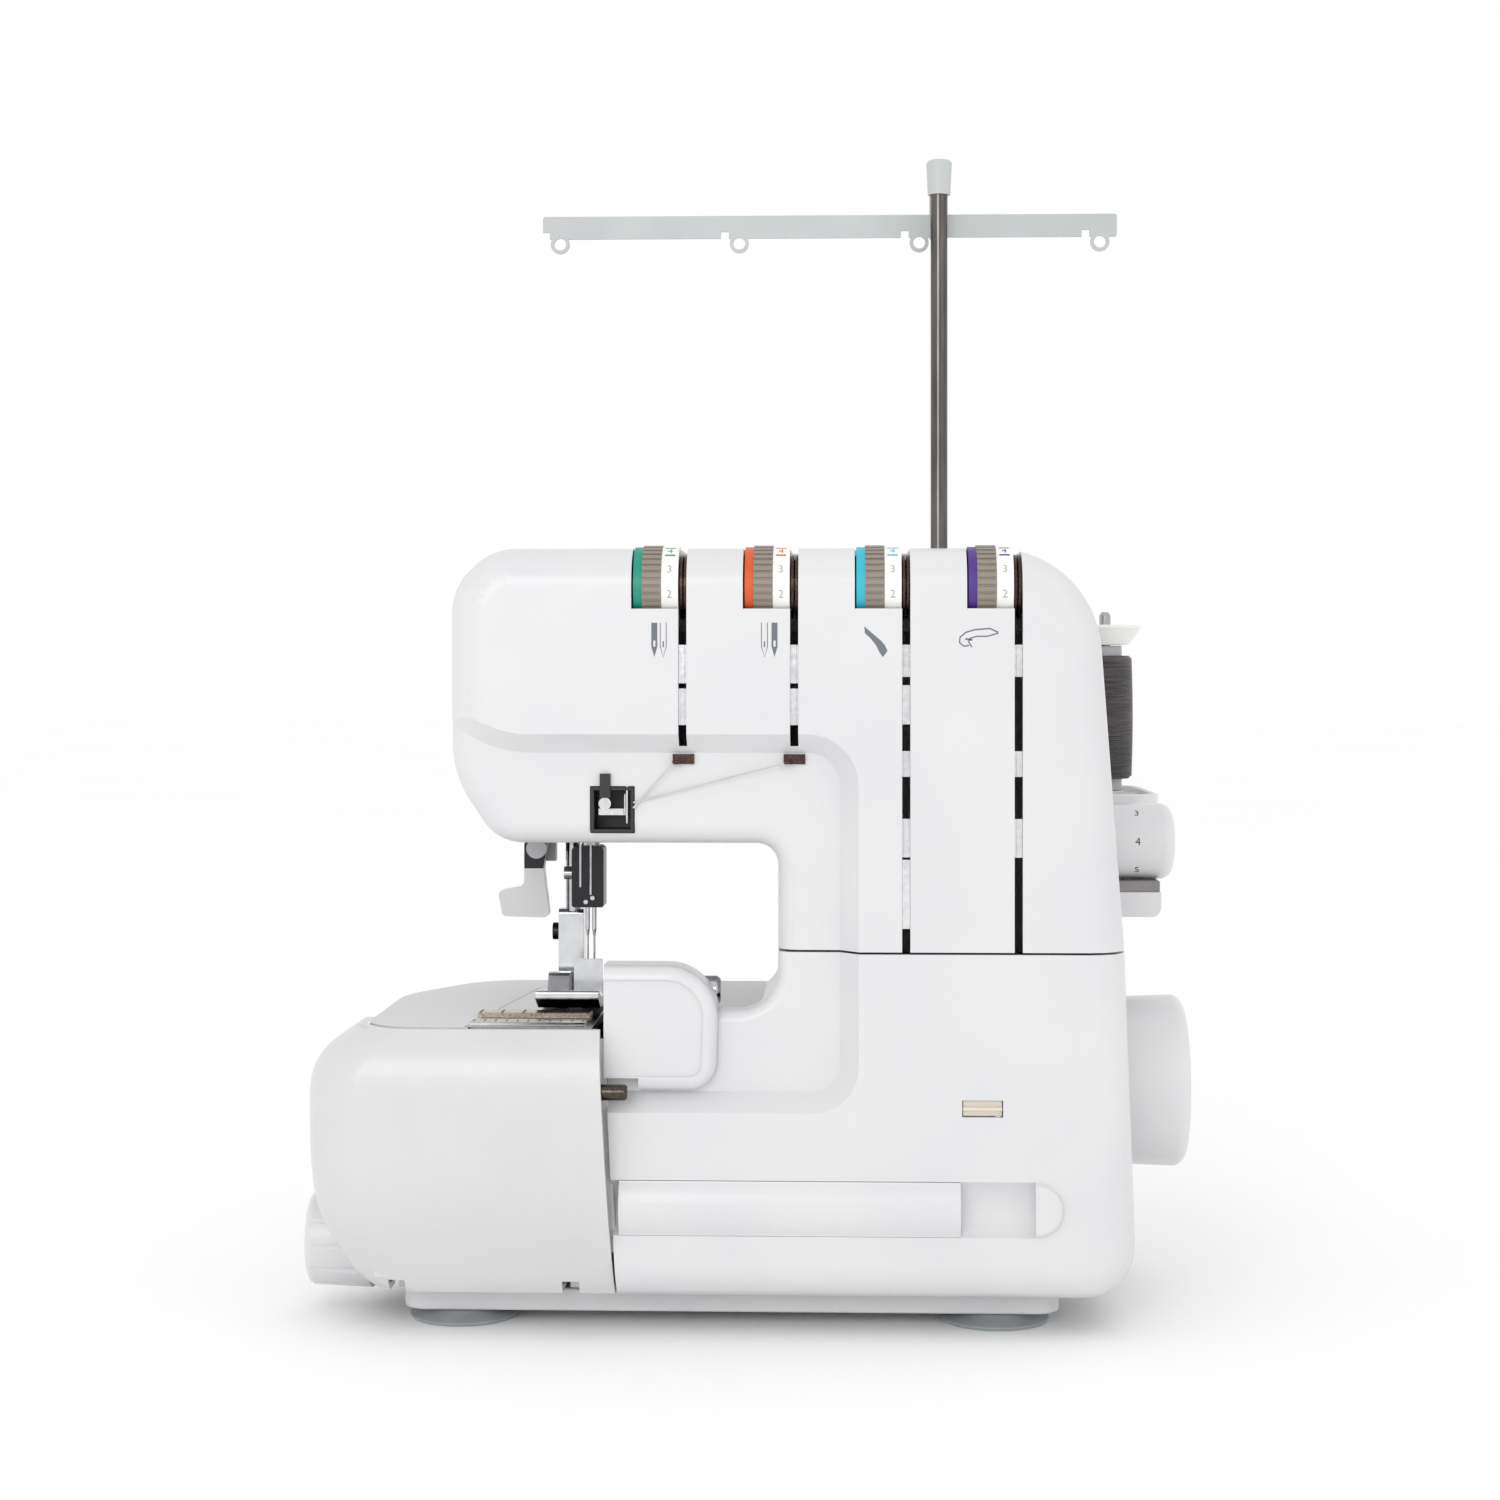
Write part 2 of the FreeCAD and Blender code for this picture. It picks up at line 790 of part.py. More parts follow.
def tube_stop():
    """Raised half-round end of the tube's channel, moulded on the lower cover."""
    half = tube_tall / 2
    end = [
        (tube_x1 - half, tube_z - half + 0.5, 0),
        (tube_x1, tube_z - half + 0.5, half - 0.6),
        (tube_x1, tube_z + half - 0.5, half - 0.6),
        (tube_x1 - half, tube_z + half - 0.5, 0),
    ]
    return rounded_block(end, cover_y - 2.6, cover_y + 1, 2.2, [1, 1, 1, 0], 3)


def indicator_window():
    frame = box(window_x0 + 0.3, window_x1 - 0.3, cover_y + 1.6, cover_y + 4, window_z + 0.3,
                window_z + window_tall - 0.3)
    bar = box(window_x0 + 0.3, window_x1 - 0.3, cover_y + 0.4, cover_y + 2, window_z + 2.4,
              window_z + 3.6)
    return frame.fuse(bar)


def wheel_left(i):
    return slot_x(i) - slot_half - wheel_wide


def tension_wheel(i):
    """Thumb wheel: colour ring at the left, knurled grip, scale ring at the right."""
    x = wheel_left(i)
    grip_x = x + colour_wide
    scale_x = x + grip_end
    ring = rod_x(x, grip_x, wheel_y, wheel_z, wheel_r - 0.6)
    grip = rod_x(grip_x, scale_x, wheel_y, wheel_z, wheel_r)
    top = wheel_z + wheel_r
    for k in range(knurls):
        groove = box(grip_x, scale_x, wheel_y - knurl_deep, wheel_y + knurl_deep, top - knurl_deep, top + 5)
        groove.rotate(Vector(x, wheel_y, wheel_z), Vector(1, 0, 0), 360 / knurls * k)
        grip = grip.cut(groove)
    scale = rod_x(scale_x, x + wheel_wide - 0.2, wheel_y, wheel_z, wheel_r - 0.4)
    bore = rod_x(x - 1, x + wheel_wide + 1, wheel_y, wheel_z, spindle_r + fit)
    return joined([ring, grip, scale]).cut(bore)


def tension_units():
    """Four fixed spindles, each with a pair of tension discs standing in its slot."""
    units = []
    for i in range(4):
        units.append(rod_x(wheel_left(i) - 1, slot_x(i) + 7, wheel_y, wheel_z, spindle_r))
        for x in (slot_x(i) - 1.2, slot_x(i) + 0.3):
            disc = rod_x(x, x + 0.9, wheel_y, wheel_z, disc_r)
            units.append(disc.cut(rod_x(x - 1, x + 2, wheel_y, wheel_z, spindle_r + fit)))
    return Part.makeCompound(units)


def thread_guides():
    """Bent metal guides: short tabs in each slot, a leaf under two of them, a hook in the take-up box."""
    guides = []
    for i in range(4):
        x = slot_x(i)
        low = slot_low(i)
        tall = guide_top - low
        reach = slot_half - fit
        for start, end in guide_tabs(i):
            z0 = low + tall * start
            z1 = low + tall * end
            blade = box(x - 0.9, x + 0.9, cover_y + 0.8, cover_y + 5, z0, z1)
            flange = box(x - reach, x + reach, cover_y + 1.4, cover_y + 2.2, z0, z1)
            guides.append(joined([blade, flange]))
    for i in range(2):
        x = slot_x(i)
        y = cover_y + step
        low = leaf_low()
        leaf = box(x - 4, x + 4, y - 1, y, low, step_top - step_run - 0.5)
        hook = box(x - 4, x - 1, y - leaf_reach, y, low, low + 1.2)
        guides.append(leaf.fuse(hook))
    guides.append(take_up_hook())
    return Part.makeCompound(guides)


def guide_tabs(i):
    """Where the tabs of a slot start and end, as shares of its open height."""
    if i < 2:
        return [(0.21, 0.57), (0.62, 1)]
    return [(0.34, 0.46), (0.59, 0.67), (0.9, 1)]


def leaf_low():
    return step_top - step_run - 4.2


def needle_threads():
    """The two needle threads, each drawn from the front of its leaf to the take-up box."""
    threads = []
    y = cover_y + step
    for i in range(2):
        start = Vector(slot_x(i) - 3.8, y - leaf_reach - thread_r - 0.04, leaf_low() + 0.4)
        end = Vector(take_x1 - 0.1, y - 1.2, take_z0 + 9.2 + 2 * i)
        way = end - start
        threads.append(Part.makeCylinder(thread_r, way.Length, start, way))
    return Part.makeCompound(threads)


def take_up_box():
    """Black lined window of the take-up, with a finger standing above it."""
    y = cover_y + step
    edge = 1.2
    outer = box(take_x0, take_x1, y - 0.6, y + 14, take_z0, take_z1)
    inner = box(take_x0 + edge, take_x1 - edge, y - 2, y + 14 - edge, take_z0 + edge, take_z1 - edge)
    finger = box(take_x0 + 3.4, take_x0 + 7.4, y - 1.6, y - 0.4, take_z1 - 4, take_z1 + 5)
    return joined([outer.cut(inner), finger])


def take_up_hook():
    y = cover_y + step
    z = take_z0 + 6.2
    arm = box(take_x0 + 2.5, take_x1 - 2.5, y + 4, y + 5, z, z + 2.5)
    post = box(take_x0 + 6.5, take_x0 + 9.5, y + 4.5, y + 12.8, z, z + 2.5)
    wire = rod_z(take_x1 - 3.5, y + 4.5, z, z + 8, 0.8)
    return joined([arm, post, wire])


def main_frame():
    """Cast frame: floor, three bearing walls, arm web, head lugs, wheel beam and looper carrier."""
    floor = base_z - gap
    floor_top = floor + floor_thick
    low = floor_top - 1
    left, middle, right = bearing_x
    beam_z = wheel_z - beam_drop
    beam_top = beam_z + beam_tall
    back = web_y + web_thick / 2
    pieces = [
        box(left - 6, right + bearing_thick, frame_front, frame_back, floor, floor_top),
        box(left, left + bearing_thick, frame_front, frame_back, low, deck_z - 7.4),
        box(middle, middle + bearing_thick, frame_front, frame_back, low, beam_top),
        box(right, right + bearing_thick, frame_front, frame_back, low, shaft_z + 28.5),
        box(web_left, middle + 2, web_y, web_y + web_thick, head_z, beam_top),
        box(left + bearing_thick, middle + 2, carrier_y, carrier_y + carrier_thick, low, carrier_top),
        box(feed_left, feed_right, carrier_y + carrier_thick, back, low, feed_low() - feed_gap),
        box(lever_x - 6, head_right, head_front, back, head_z, head_z + head_thick),
        box(presser_x - 11.5, head_right, head_front, back, crown_z, crown_z + crown_thick),
        box(slot_x(0) - 22, slot_x(3) + 14.4, beam_y, beam_y + beam_deep, beam_z, beam_top),
        box(middle, middle + bearing_thick, beam_y, frame_front + 1, beam_z, beam_top),
        rod_y(rocker_x, rocker_boss_y, web_y + 1, rocker_z, 13),
        box(lever_x - 6, lever_x + 6, lever_back + 7, lever_back + 13, lever_z - 6, head_z + 1),
        rod_y(lever_x, lever_front - 1, lever_back + 13, lever_z, lever_pin_r),
        rod_y(lever_x, lever_front - 1.6, lever_front - 0.2, lever_z, lever_pin_r + 1.5),
    ]
    for i in range(4):
        x = slot_x(i) + slot_half + 1.1
        lug_back = beam_y + beam_deep - 1
        pieces.append(box(x, x + lug_thick, wheel_y + 2, lug_back, beam_z + 6.2, beam_top - 0.6))
        pieces.append(rod_x(x, x + lug_thick, wheel_y, wheel_z, spindle_boss))
    holes = [
        rod_x(left - 8, right + 18, shaft_y, shaft_z, bush_r),
        rod_x(right - 12, right + 18, shaft_y, motor_z, motor_nose_r + 1),
        rod_y(rocker_x, rocker_boss_y - 3, web_y + web_thick + 2, rocker_z, rocker_shaft_r + fit),
        rod_z(needle_x, needle_y, head_z - 8, crown_z + 19, needle_bush_r),
        rod_z(presser_x, presser_y, head_z - 8, crown_z + 19, presser_bush_r),
    ]
    for i in range(4):
        holes.append(rod_x(slot_x(i), slot_x(i) + 8, wheel_y, wheel_z, spindle_r + fit))
    for x in (lower_looper_x, upper_looper_x):
        holes.append(rod_y(x, carrier_y - 3, carrier_y + carrier_thick + 2, looper_z, looper_shaft_r + fit))
    return joined(pieces).cut(holes + [bed_corner(wall + gap)])


def bearing_bushes():
    """Bronze bushes of the main shaft, needle bar and presser bar."""
    bushes = []
    for x in bearing_x:
        end = x + bearing_thick
        collar = rod_x(end, end + 1.5, shaft_y, shaft_z, bush_r + 2)
        bush = rod_x(x, end, shaft_y, shaft_z, bush_r).fuse(collar)
        bushes.append(bush.cut(rod_x(x - 1, end + 3, shaft_y, shaft_z, shaft_r + fit)))
    for z, thick in ((head_z, head_thick), (crown_z, crown_thick)):
        needle_bush = rod_z(needle_x, needle_y, z, z + thick, needle_bush_r)
        bushes.append(needle_bush.cut(rod_z(needle_x, needle_y, z - 1, z + thick + 1, needle_bar_r + fit)))
        presser_bush = rod_z(presser_x, presser_y, z, z + thick, presser_bush_r)
        bushes.append(presser_bush.cut(rod_z(presser_x, presser_y, z - 1, z + thick + 1, presser_r + fit)))
    return Part.makeCompound(bushes)


def main_shaft():
    shaft = rod_x(bearing_x[0] + 1, half_width - 8, shaft_y, shaft_z, shaft_r)
    for x, turn in ((-46, 0), (-12, 120), (44, 240)):
        y = shaft_y + 3 * math.cos(math.radians(turn))
        z = shaft_z + 3 * math.sin(math.radians(turn))
        shaft = shaft.fuse(rod_x(x, x + 9, y, z, 10.5))
    return shaft.removeSplitter()


def handwheel():
    rim = 34.0
    x0 = side_x(shaft_z - rim) + gap
    profile = [
        (x0, 0, 0),
        (half_width, 0, 0),
        (half_width, 10, 0),
        (half_width - 1.5, 26, 0),
        (half_width - 1.5, rim, 5),
        (x0, rim - 1, 0),
    ]
    wheel = turned_x(profile, shaft_y, shaft_z)
    hollow = rod_x(x0 - 1, x0 + 10, shaft_y, shaft_z, rim - 5)
    hollow = hollow.cut(rod_x(x0 - 2, x0 + 12, shaft_y, shaft_z, 10))
    return wheel.cut([hollow, rod_x(x0 - 1, half_width - 8 + 0.05, shaft_y, shaft_z, shaft_r + 0.02)])


def pulley(z, radius, bore):
    body = rod_x(belt_x, belt_x + belt_wide, shaft_y, z, radius)
    for x in (belt_x - 1.5, belt_x + belt_wide):
        body = body.fuse(rod_x(x, x + 1.5, shaft_y, z, radius + 2.5))
    return body.removeSplitter().cut(rod_x(belt_x - 5, belt_x + 20, shaft_y, z, bore))


def motor_pulley():
    shaft = rod_x(motor_x1 - motor_bore + 1, belt_x + belt_wide + 1.5, shaft_y, motor_z, motor_shaft_r)
    return pulley(motor_z, motor_pulley_r, 1).fuse(shaft).removeSplitter()


def drive_belt():
    """Open loop round both pulleys, its straight runs tangent to them."""
    def loop(grow, x0, x1):
        big = shaft_pulley_r + grow
        small = motor_pulley_r + grow
        rise = shaft_z - motor_z
        tilt = math.asin((big - small) / rise)
        c = math.cos(tilt)
        n = math.sin(tilt)
        points = [
            Vector(x0, shaft_y - big * c, shaft_z + big * -n),
            Vector(x0, shaft_y, shaft_z + big),
            Vector(x0, shaft_y + big * c, shaft_z + big * -n),
            Vector(x0, shaft_y + small * c, motor_z + small * -n),
            Vector(x0, shaft_y, motor_z - small),
            Vector(x0, shaft_y - small * c, motor_z + small * -n),
        ]
        wire = Part.Wire([
            Part.Arc(points[0], points[1], points[2]).toShape(),
            Part.makeLine(points[2], points[3]),
            Part.Arc(points[3], points[4], points[5]).toShape(),
            Part.makeLine(points[5], points[0]),
        ])
        return Part.Face(wire).extrude(Vector(x1 - x0, 0, 0))

    x0 = belt_x + 0.5
    x1 = belt_x + belt_wide - 0.5
    return loop(1.8, x0, x1).cut(loop(0.3, x0 - 1, x1 + 1))


def motor():
    can = rod_x(motor_x0, motor_x1, shaft_y, motor_z, motor_r)
    nose = rod_x(motor_x1, motor_x1 + 4, shaft_y, motor_z, motor_nose_r)
    floor_top = base_z - gap + floor_thick
    foot = box(motor_x0 + 8, motor_x1 - 8, shaft_y - 14, shaft_y + 16, floor_top, motor_z - motor_r + 6)
    bore = rod_x(motor_x1 - motor_bore, motor_x1 + 6, shaft_y, motor_z, motor_shaft_r + fit)
    return joined([can, nose, foot]).cut(bore)


def needle_rocker():
    """Lever inside the arm: its fork lifts and lowers the needle bar by a cross pin."""
    reach = rocker_x - needle_x
    hub = rod_y(rocker_x, rocker_front, rocker_boss_y - gap, rocker_z, rocker_shaft_r + 4)
    shaft = rod_y(rocker_x, rocker_front, web_y + web_thick + 4, rocker_z, rocker_shaft_r)
    half = cross_pin_r + 3.5
    root = rocker_shaft_r + 3
    arm = [
        (-reach - 5, -half, 0),
        (-reach + 16, -half, 4),
        (0, -root, 0),
        (0, root, 0),
        (-reach + 16, half, 4),
        (-reach - 5, half, 0),
    ]
    outline = [(rocker_x + u, rocker_z + v, r) for u, v, r in arm]
    lever = prism_y(outline, rocker_front, rocker_front + rocker_thick)
    slack = cross_pin_r + 0.2
    low = rocker_z - slack
    high = rocker_z + slack
    fork = box(needle_x - 10, needle_x + 8, rocker_front - 8, rocker_front + 12, low, high)
    lever = joined([lever.cut(fork), hub, shaft])
    lever.rotate(Vector(rocker_x, 0, rocker_z), Vector(0, 1, 0), rocker_tilt)
    return lever


def pin_height():
    return rocker_z + (rocker_x - needle_x) * math.tan(math.radians(rocker_tilt))


def needle_bar():
    bar = rod_z(needle_x, needle_y, clamp_low + 6, crown_z + 20, needle_bar_r)
    z = pin_height()
    collar = rod_z(needle_x, needle_y, z - 6, z + 6, needle_bar_r + 3.4)
    pin = rod_y(needle_x, needle_y, rocker_front + rocker_thick + 1, z, cross_pin_r)
    return joined([bar, collar, pin])


def needle_clamp():
    """Block on the needle bar with two needle seats, their set screws and a knob at the left."""
    left = needle_x - clamp_left
    right = needle_x + clamp_right
    top = clamp_low + clamp_tall
    outline = [(left, clamp_low, 1), (right, clamp_low, 1), (right, top, 2), (left, top, 2)]
    block = prism_y(outline, needle_y - 7, needle_y + 6)
    holes = [rod_z(needle_x, needle_y, clamp_low + needle_seat, top + 6, needle_bar_r + 0.02)]
    holes.append(rod_x(left - 3, needle_x - 4, needle_y, clamp_low + knob_z, knob_stem_r))
    for x in needle_places():
        holes.append(rod_z(x, needle_y, clamp_low - 1, clamp_low + needle_seat + 0.1, needle_r + 0.02))
        holes.append(rod_y(x, needle_y - 9, needle_y - 3, set_screw_z(x), set_screw_r))
    return block.cut(holes)


def needle_places():
    return [needle_x - needle_pitch / 2, needle_x + needle_pitch / 2]


def set_screw_z(x):
    return clamp_low + 3 + (x - needle_x) * 0.6


def clamp_screws():
    left = needle_x - clamp_left
    z = clamp_low + knob_z
    knob = rod_x(left - 3.6, left - 0.1, needle_y, z, 2.6)
    stem = rod_x(left - 1, needle_x - 4.1, needle_y, z, knob_stem_r - fit)
    screws = [joined([knob, stem])]
    for x in needle_places():
        screws.append(rod_y(x, needle_y - 8.4, needle_y - 3.1, set_screw_z(x), set_screw_r - fit))
    return Part.makeCompound(screws)


def needles():
    made = []
    for x in needle_places():
        profile = [
            (0, needle_tip, 0),
            (0.1, needle_tip, 0),
            (needle_r / 2, needle_tip + 5, 0),
            (needle_r / 2, clamp_low - 12, 0),
            (needle_r, clamp_low - 9, 0),
            (needle_r, clamp_low + needle_seat, 0),
            (0, clamp_low + needle_seat, 0),
        ]
        made.append(turned_z(profile, x, needle_y))
    return Part.makeCompound(made)


def presser_bar():
    """Bar with a collar and a shoe above the lever."""
    bar = rod_z(presser_x, presser_y, ankle_top - ankle_grip, crown_z + 24, presser_r)
    low = head_z + 20
    collar = rod_z(presser_x, presser_y, low, low + 8, presser_r + 2)
    shoe = box(lever_x - 2, presser_x, presser_y - 3, presser_y + 3, low + 1, low + 7)
    return joined([bar, collar, shoe])


def presser_foot():
    """Foot with upturned toe, needle slot and a shank clamped on the presser bar by a side screw."""
    side = [
        (foot_back, foot_z, 0),
        (foot_back, foot_z + 3, 1),
        (presser_y - 5, foot_z + 4, 2),
        (foot_front + 14, foot_z + 4, 2),
        (foot_front, foot_z + 8, 1),
        (foot_front, foot_z + 4.6, 1),
        (foot_front + 10, foot_z, 4),
    ]
    sole = prism_x(side, foot_left, foot_right)
    half = needle_pitch / 2 + 2.1
    slot = box(needle_x - half, needle_x + half, needle_y - 7, needle_y + 5.5, foot_z - 1, foot_z + 9)
    front = presser_y - presser_r - gap
    shank = [
        (front, foot_z + 3, 0),
        (presser_y + 6, foot_z + 3, 0),
        (presser_y + 6, ankle_top, 2),
        (front, ankle_top, 2),
    ]
    guard = [
        (needle_y - 12, foot_z + 3, 0),
        (needle_y + 2, foot_z + 3, 0),
        (needle_y + 2, foot_z + 12, 2),
        (needle_y - 6, foot_z + 12, 3),
    ]
    upright = prism_x(shank, ankle_left, ankle_right)
    finger_guard = prism_x(guard, foot_left + 2.5, presser_x + 0.5)
    plate_y = needle_y - 9.6
    front_plate = box(needle_x - 5.7, foot_right - 0.2, plate_y - 1.4, plate_y, foot_z + 3, foot_z + 18)
    made = joined([sole.cut(slot), upright, finger_guard, front_plate])
    holes = [
        rod_z(presser_x, presser_y, ankle_top - ankle_grip, ankle_top + 1, presser_r + 0.02),
        rod_x(ankle_left - 4, ankle_left + 0.7, presser_y, ankle_screw_z, ankle_screw_r),
    ]
    return Part.makeCompound([made.cut(holes), ankle_screw()])


def ankle_screw():
    head = rod_x(ankle_left - 2.5, ankle_left - 0.1, presser_y, ankle_screw_z, ankle_screw_r + 1.8)
    stem = rod_x(ankle_left - 0.2, ankle_left + 0.6, presser_y, ankle_screw_z, ankle_screw_r - fit)
    return joined([head, stem])


def presser_lever():
    """Bent lever under the arm that lifts the presser bar; its paddle swells towards its end."""
    outline = [
        (lever_x - 5, lever_z + 5, 4),
        (lever_x - 5, lever_z - 15, 3),
        (lever_x - 15.5, lever_z - 17, 2),
        (lever_x - 13.6, lever_z - 27, 2),
        (lever_x + 5, lever_z - 27.5, 2),
        (lever_x + 2.6, lever_z - 8, 6),
        (lever_x + 4.6, lever_z + 5, 4),
    ]
    lever = prism_y(outline, lever_front, lever_back)
    return lever.cut(rod_y(lever_x, lever_front - 1, lever_back + 1, lever_z, lever_pin_r + fit))


def knife_bracket():
    """Post beside the looper space that carries both knives."""
    side = [
        (knife_y - 8, base_z - gap, 0),
        (blade_back + 1, base_z - gap, 0),
        (blade_back + 1, deck_z - 13.4, 4),
        (knife_y + 8, deck_z - 11.4, 6),
        (knife_y + 8, knife_z + 8, 6),
        (knife_y - 8, knife_z + 8, 6),
    ]
    seat = lower_blade_x + blade_thick
    y = (blade_front + blade_back) / 2 + 0.5
    z = bed_z - 23
    post = prism_x(side, post_left, post_right)
    holder = box(seat, post_left + 1, y - 4, y + 4, z - 6, z + 6)
    boss = rod_x(seat, seat + 5.4, y, z, 6)
    bore = rod_x(post_left - 6, post_right + 6, knife_y, knife_z, knife_shaft_r + fit)
    return joined([post, holder, boss]).cut(bore)


def lower_knife():
    blade = box(lower_blade_x, lower_blade_x + blade_thick, blade_front, blade_back + 1, bed_z - 27, bed_z)
    y = (blade_front + blade_back) / 2
    edge = Part.makeBox(4, 12, 4, Vector(lower_blade_x - 1.2, y - 5.5, bed_z - 1.2))
    edge.rotate(Vector(lower_blade_x, y, bed_z - 1.2), Vector(0, 1, 0), -30)
    return blade.cut(edge)


def upper_knife_arm():
    """Arm on a cross shaft, with a knob at the right to park the blade."""
    seat = upper_blade_x + blade_thick
    shaft = rod_x(seat + 1.4, post_right + 11, knife_y, knife_z, knife_shaft_r)
    x = post_right + 7
    profile = [(x, 0, 0), (x + 8, 0, 0), (x + 8, 4.2, 0), (x + 6.7, 5.5, 0), (x, 5.5, 0)]
    knob = turned_x(profile, knife_y, knife_z)
    side = [
        (knife_y - 5.5, knife_z - 5, 4),
        (blade_back, knife_z - 3, 2),
        (blade_back, knife_z + 5, 3),
        (knife_y - 5.5, knife_z + 5.5, 4),
    ]
    return joined([shaft, knob, prism_x(side, seat, seat + 6.4)])


def upper_knife():
    top = knife_z + 6
    blade = [
        (blade_front, bed_z - 6, 0),
        (blade_back, bed_z - 4.5, 0),
        (blade_back, top, 0),
        (blade_front, top, 0),
    ]
    return prism_x(blade, upper_blade_x, upper_blade_x + blade_thick)


def upper_looper():
    """Lever in front of the needles; its hook carries thread up and to the left."""
    x, z = upper_looper_x, looper_z
    front = needle_y - 6.5
    hub = rod_y(x, front, front + 9.5, z, looper_hub_r)
    shaft = rod_y(x, front, carrier_y + carrier_thick + 2, z, looper_shaft_r)
    arm = [
        (x - 6, z - 4, 0),
        (x + 6, z + 3, 0),
        (x - 12, z + 36, 10),
        (x - 16, z + 49, 6),
        (x - 32, z + 51.5, 0),
        (x - 34, z + 50, 0),
        (x - 24, z + 42, 8),
        (x - 19, z + 32, 10),
    ]
    hook = prism_y(arm, front + 0.3, front + 0.3 + looper_thick)
    eye = rod_y(x - 28, front - 3, front + 6, z + 49.4, 0.8)
    return joined([hub, shaft, hook.cut(eye)])


def lower_looper():
    """Lever behind the needles; its pointed blade passes from left to right."""
    x, z = lower_looper_x, looper_z
    front = needle_y + 2.6
    hub = rod_y(x, front - 6.6, front + 2.8, z, looper_hub_r)
    shaft = rod_y(x, front - 6.6, carrier_y + carrier_thick + 2, z, looper_shaft_r)
    arm = [
        (x - 7, z, 0),
        (x + 7, z, 0),
        (x + 2, z + 36, 8),
        (x + 10, z + 44, 8),
        (x + 35, z + 49, 0),
        (x + 33.5, z + 50.4, 0),
        (x + 8, z + 50.5, 6),
        (x - 9, z + 42, 10),
    ]
    return joined([hub, shaft, prism_y(arm, front, front + looper_thick)])


def feed_low():
    return feed_top - feed_deep


def feed_dogs():
    """Two toothed rails on a carrier bar that slides over its pillar."""
    low = feed_low()
    teeth_z = bed_z + tooth_rise
    made = [box(feed_left, feed_right, rail_front - 1, rail_back + 6, low, low + 3)]
    for x in rail_x:
        made.append(box(x, x + rail_wide, rail_front, rail_back, low + 2, teeth_z - 1.1))
        for k in range(int((rail_back - rail_front) / tooth_pitch + 0.01)):
            y = rail_front + tooth_pitch * k
            end = y + tooth_pitch
            tooth = [(y, teeth_z - 1.2, 0), (end, teeth_z - 1.2, 0), (end - 0.3, teeth_z, 0)]
            made.append(prism_x(tooth, x, x + rail_wide))
    return joined(made)


def hinge_brackets():
    made = []
    for x in hinge_x:
        x0 = x + 0.1
        x1 = x + bracket_wide
        back = door_axis_y + 15
        arm = box(x0, x1, door_axis_y - 3.4, back, door_axis_z - 3.4, door_axis_z + 3.4)
        post = box(x0, x1, back - 6, back, base_z - gap, door_axis_z)
        pin = rod_x(x - ear_wide - 0.8, x + 2, door_axis_y, door_axis_z, hinge_r)
        made.append(joined([arm, post, pin]))
    return Part.makeCompound(made)


def latch_pin():
    end = door_right + latch_reach
    body = rod_x(door_right - 7, end, latch_y, latch_z, latch_r - 0.02)
    return body.makeChamfer(0.8, [e for e in body.Edges if e.CenterOfMass.x > end - 1])


def stitch_length_dial():
    """Drum-shaped dial; its flat inner face clears the sloped wall at its lowest point."""
    x0 = side_x(length_z - length_r) + gap
    x1 = half_width - 3
    profile = [(x0, 0, 0), (x1, 0, 0), (x1, length_r - 5, 0), (x1 - 1.5, length_r, 5), (x0, length_r, 0)]
    dial = turned_x(profile, length_y, length_z)
    return dial.fuse(rod_x(x0 - 12, x0 + 1, length_y, length_z, dial_shaft_r)).removeSplitter()


def side_x(z):
    """Right side wall of the body at a height."""
    if z < seam_z:
        return side_bottom_x + (side_seam_x - side_bottom_x) * (z - base_z) / (seam_z - base_z)
    return side_seam_x + (shoulder_x - side_seam_x) * (z - seam_z) / (arm_top - seam_z)


def dial_rest():
    """Fixed white rest and grey pad under the stitch length dial, both cut to the slope of the wall."""
    low = length_z - rest_drop
    middle = low + rest_tall
    top = middle + pad_tall
    x1 = half_width - 8.5
    rest = [(wall_seat(low), low, 0), (x1, low, 4), (x1, middle, 0), (wall_seat(middle), middle, 0)]
    x2 = x1 - 0.5
    pad = [(wall_seat(middle), middle, 0), (x2, middle, 0), (x2, top, 0), (wall_seat(top), top, 0)]
    lower = prism_y(rest, length_y - 11, length_y + 11)
    upper = prism_y(pad, length_y - 10.5, length_y + 10.5)
    return Part.makeCompound([lower, upper])


def wall_seat(z):
    return side_x(z) + 0.02


def feed_dial():
    x1 = bed_left - 0.5
    profile = [(-half_width, 0, 0), (x1, 0, 0), (x1, feed_r, 0), (-half_width, feed_r - 1, 3)]
    dial = turned_x(profile, feed_y, feed_z)
    for k in range(12):
        groove = rod_x(-half_width - 1, x1 - 4, feed_y, feed_z + feed_r + 1, 2)
        groove.rotate(Vector(0, feed_y, feed_z), Vector(1, 0, 0), 30 * k)
        dial = dial.cut(groove)
    return dial.fuse(rod_x(x1 - 1, x1 + 12, feed_y, feed_z, dial_shaft_r)).removeSplitter()


def wall_socket(z, tall):
    """Plain box in a wall cut-out, with a flange outside."""
    x = side_x(z + tall / 2)
    slack = 0.3
    y0, y1 = inlet_y, inlet_y + inlet_wide
    body = box(x - inlet_deep, x + 1, y0 + slack, y1 - slack, z + slack, z + tall - slack)
    edge = flange_edge
    flange = box(x + 0.8, x + 0.8 + flange_thick, y0 - edge, y1 + edge, z - edge, z + tall + edge)
    return joined([body, flange])


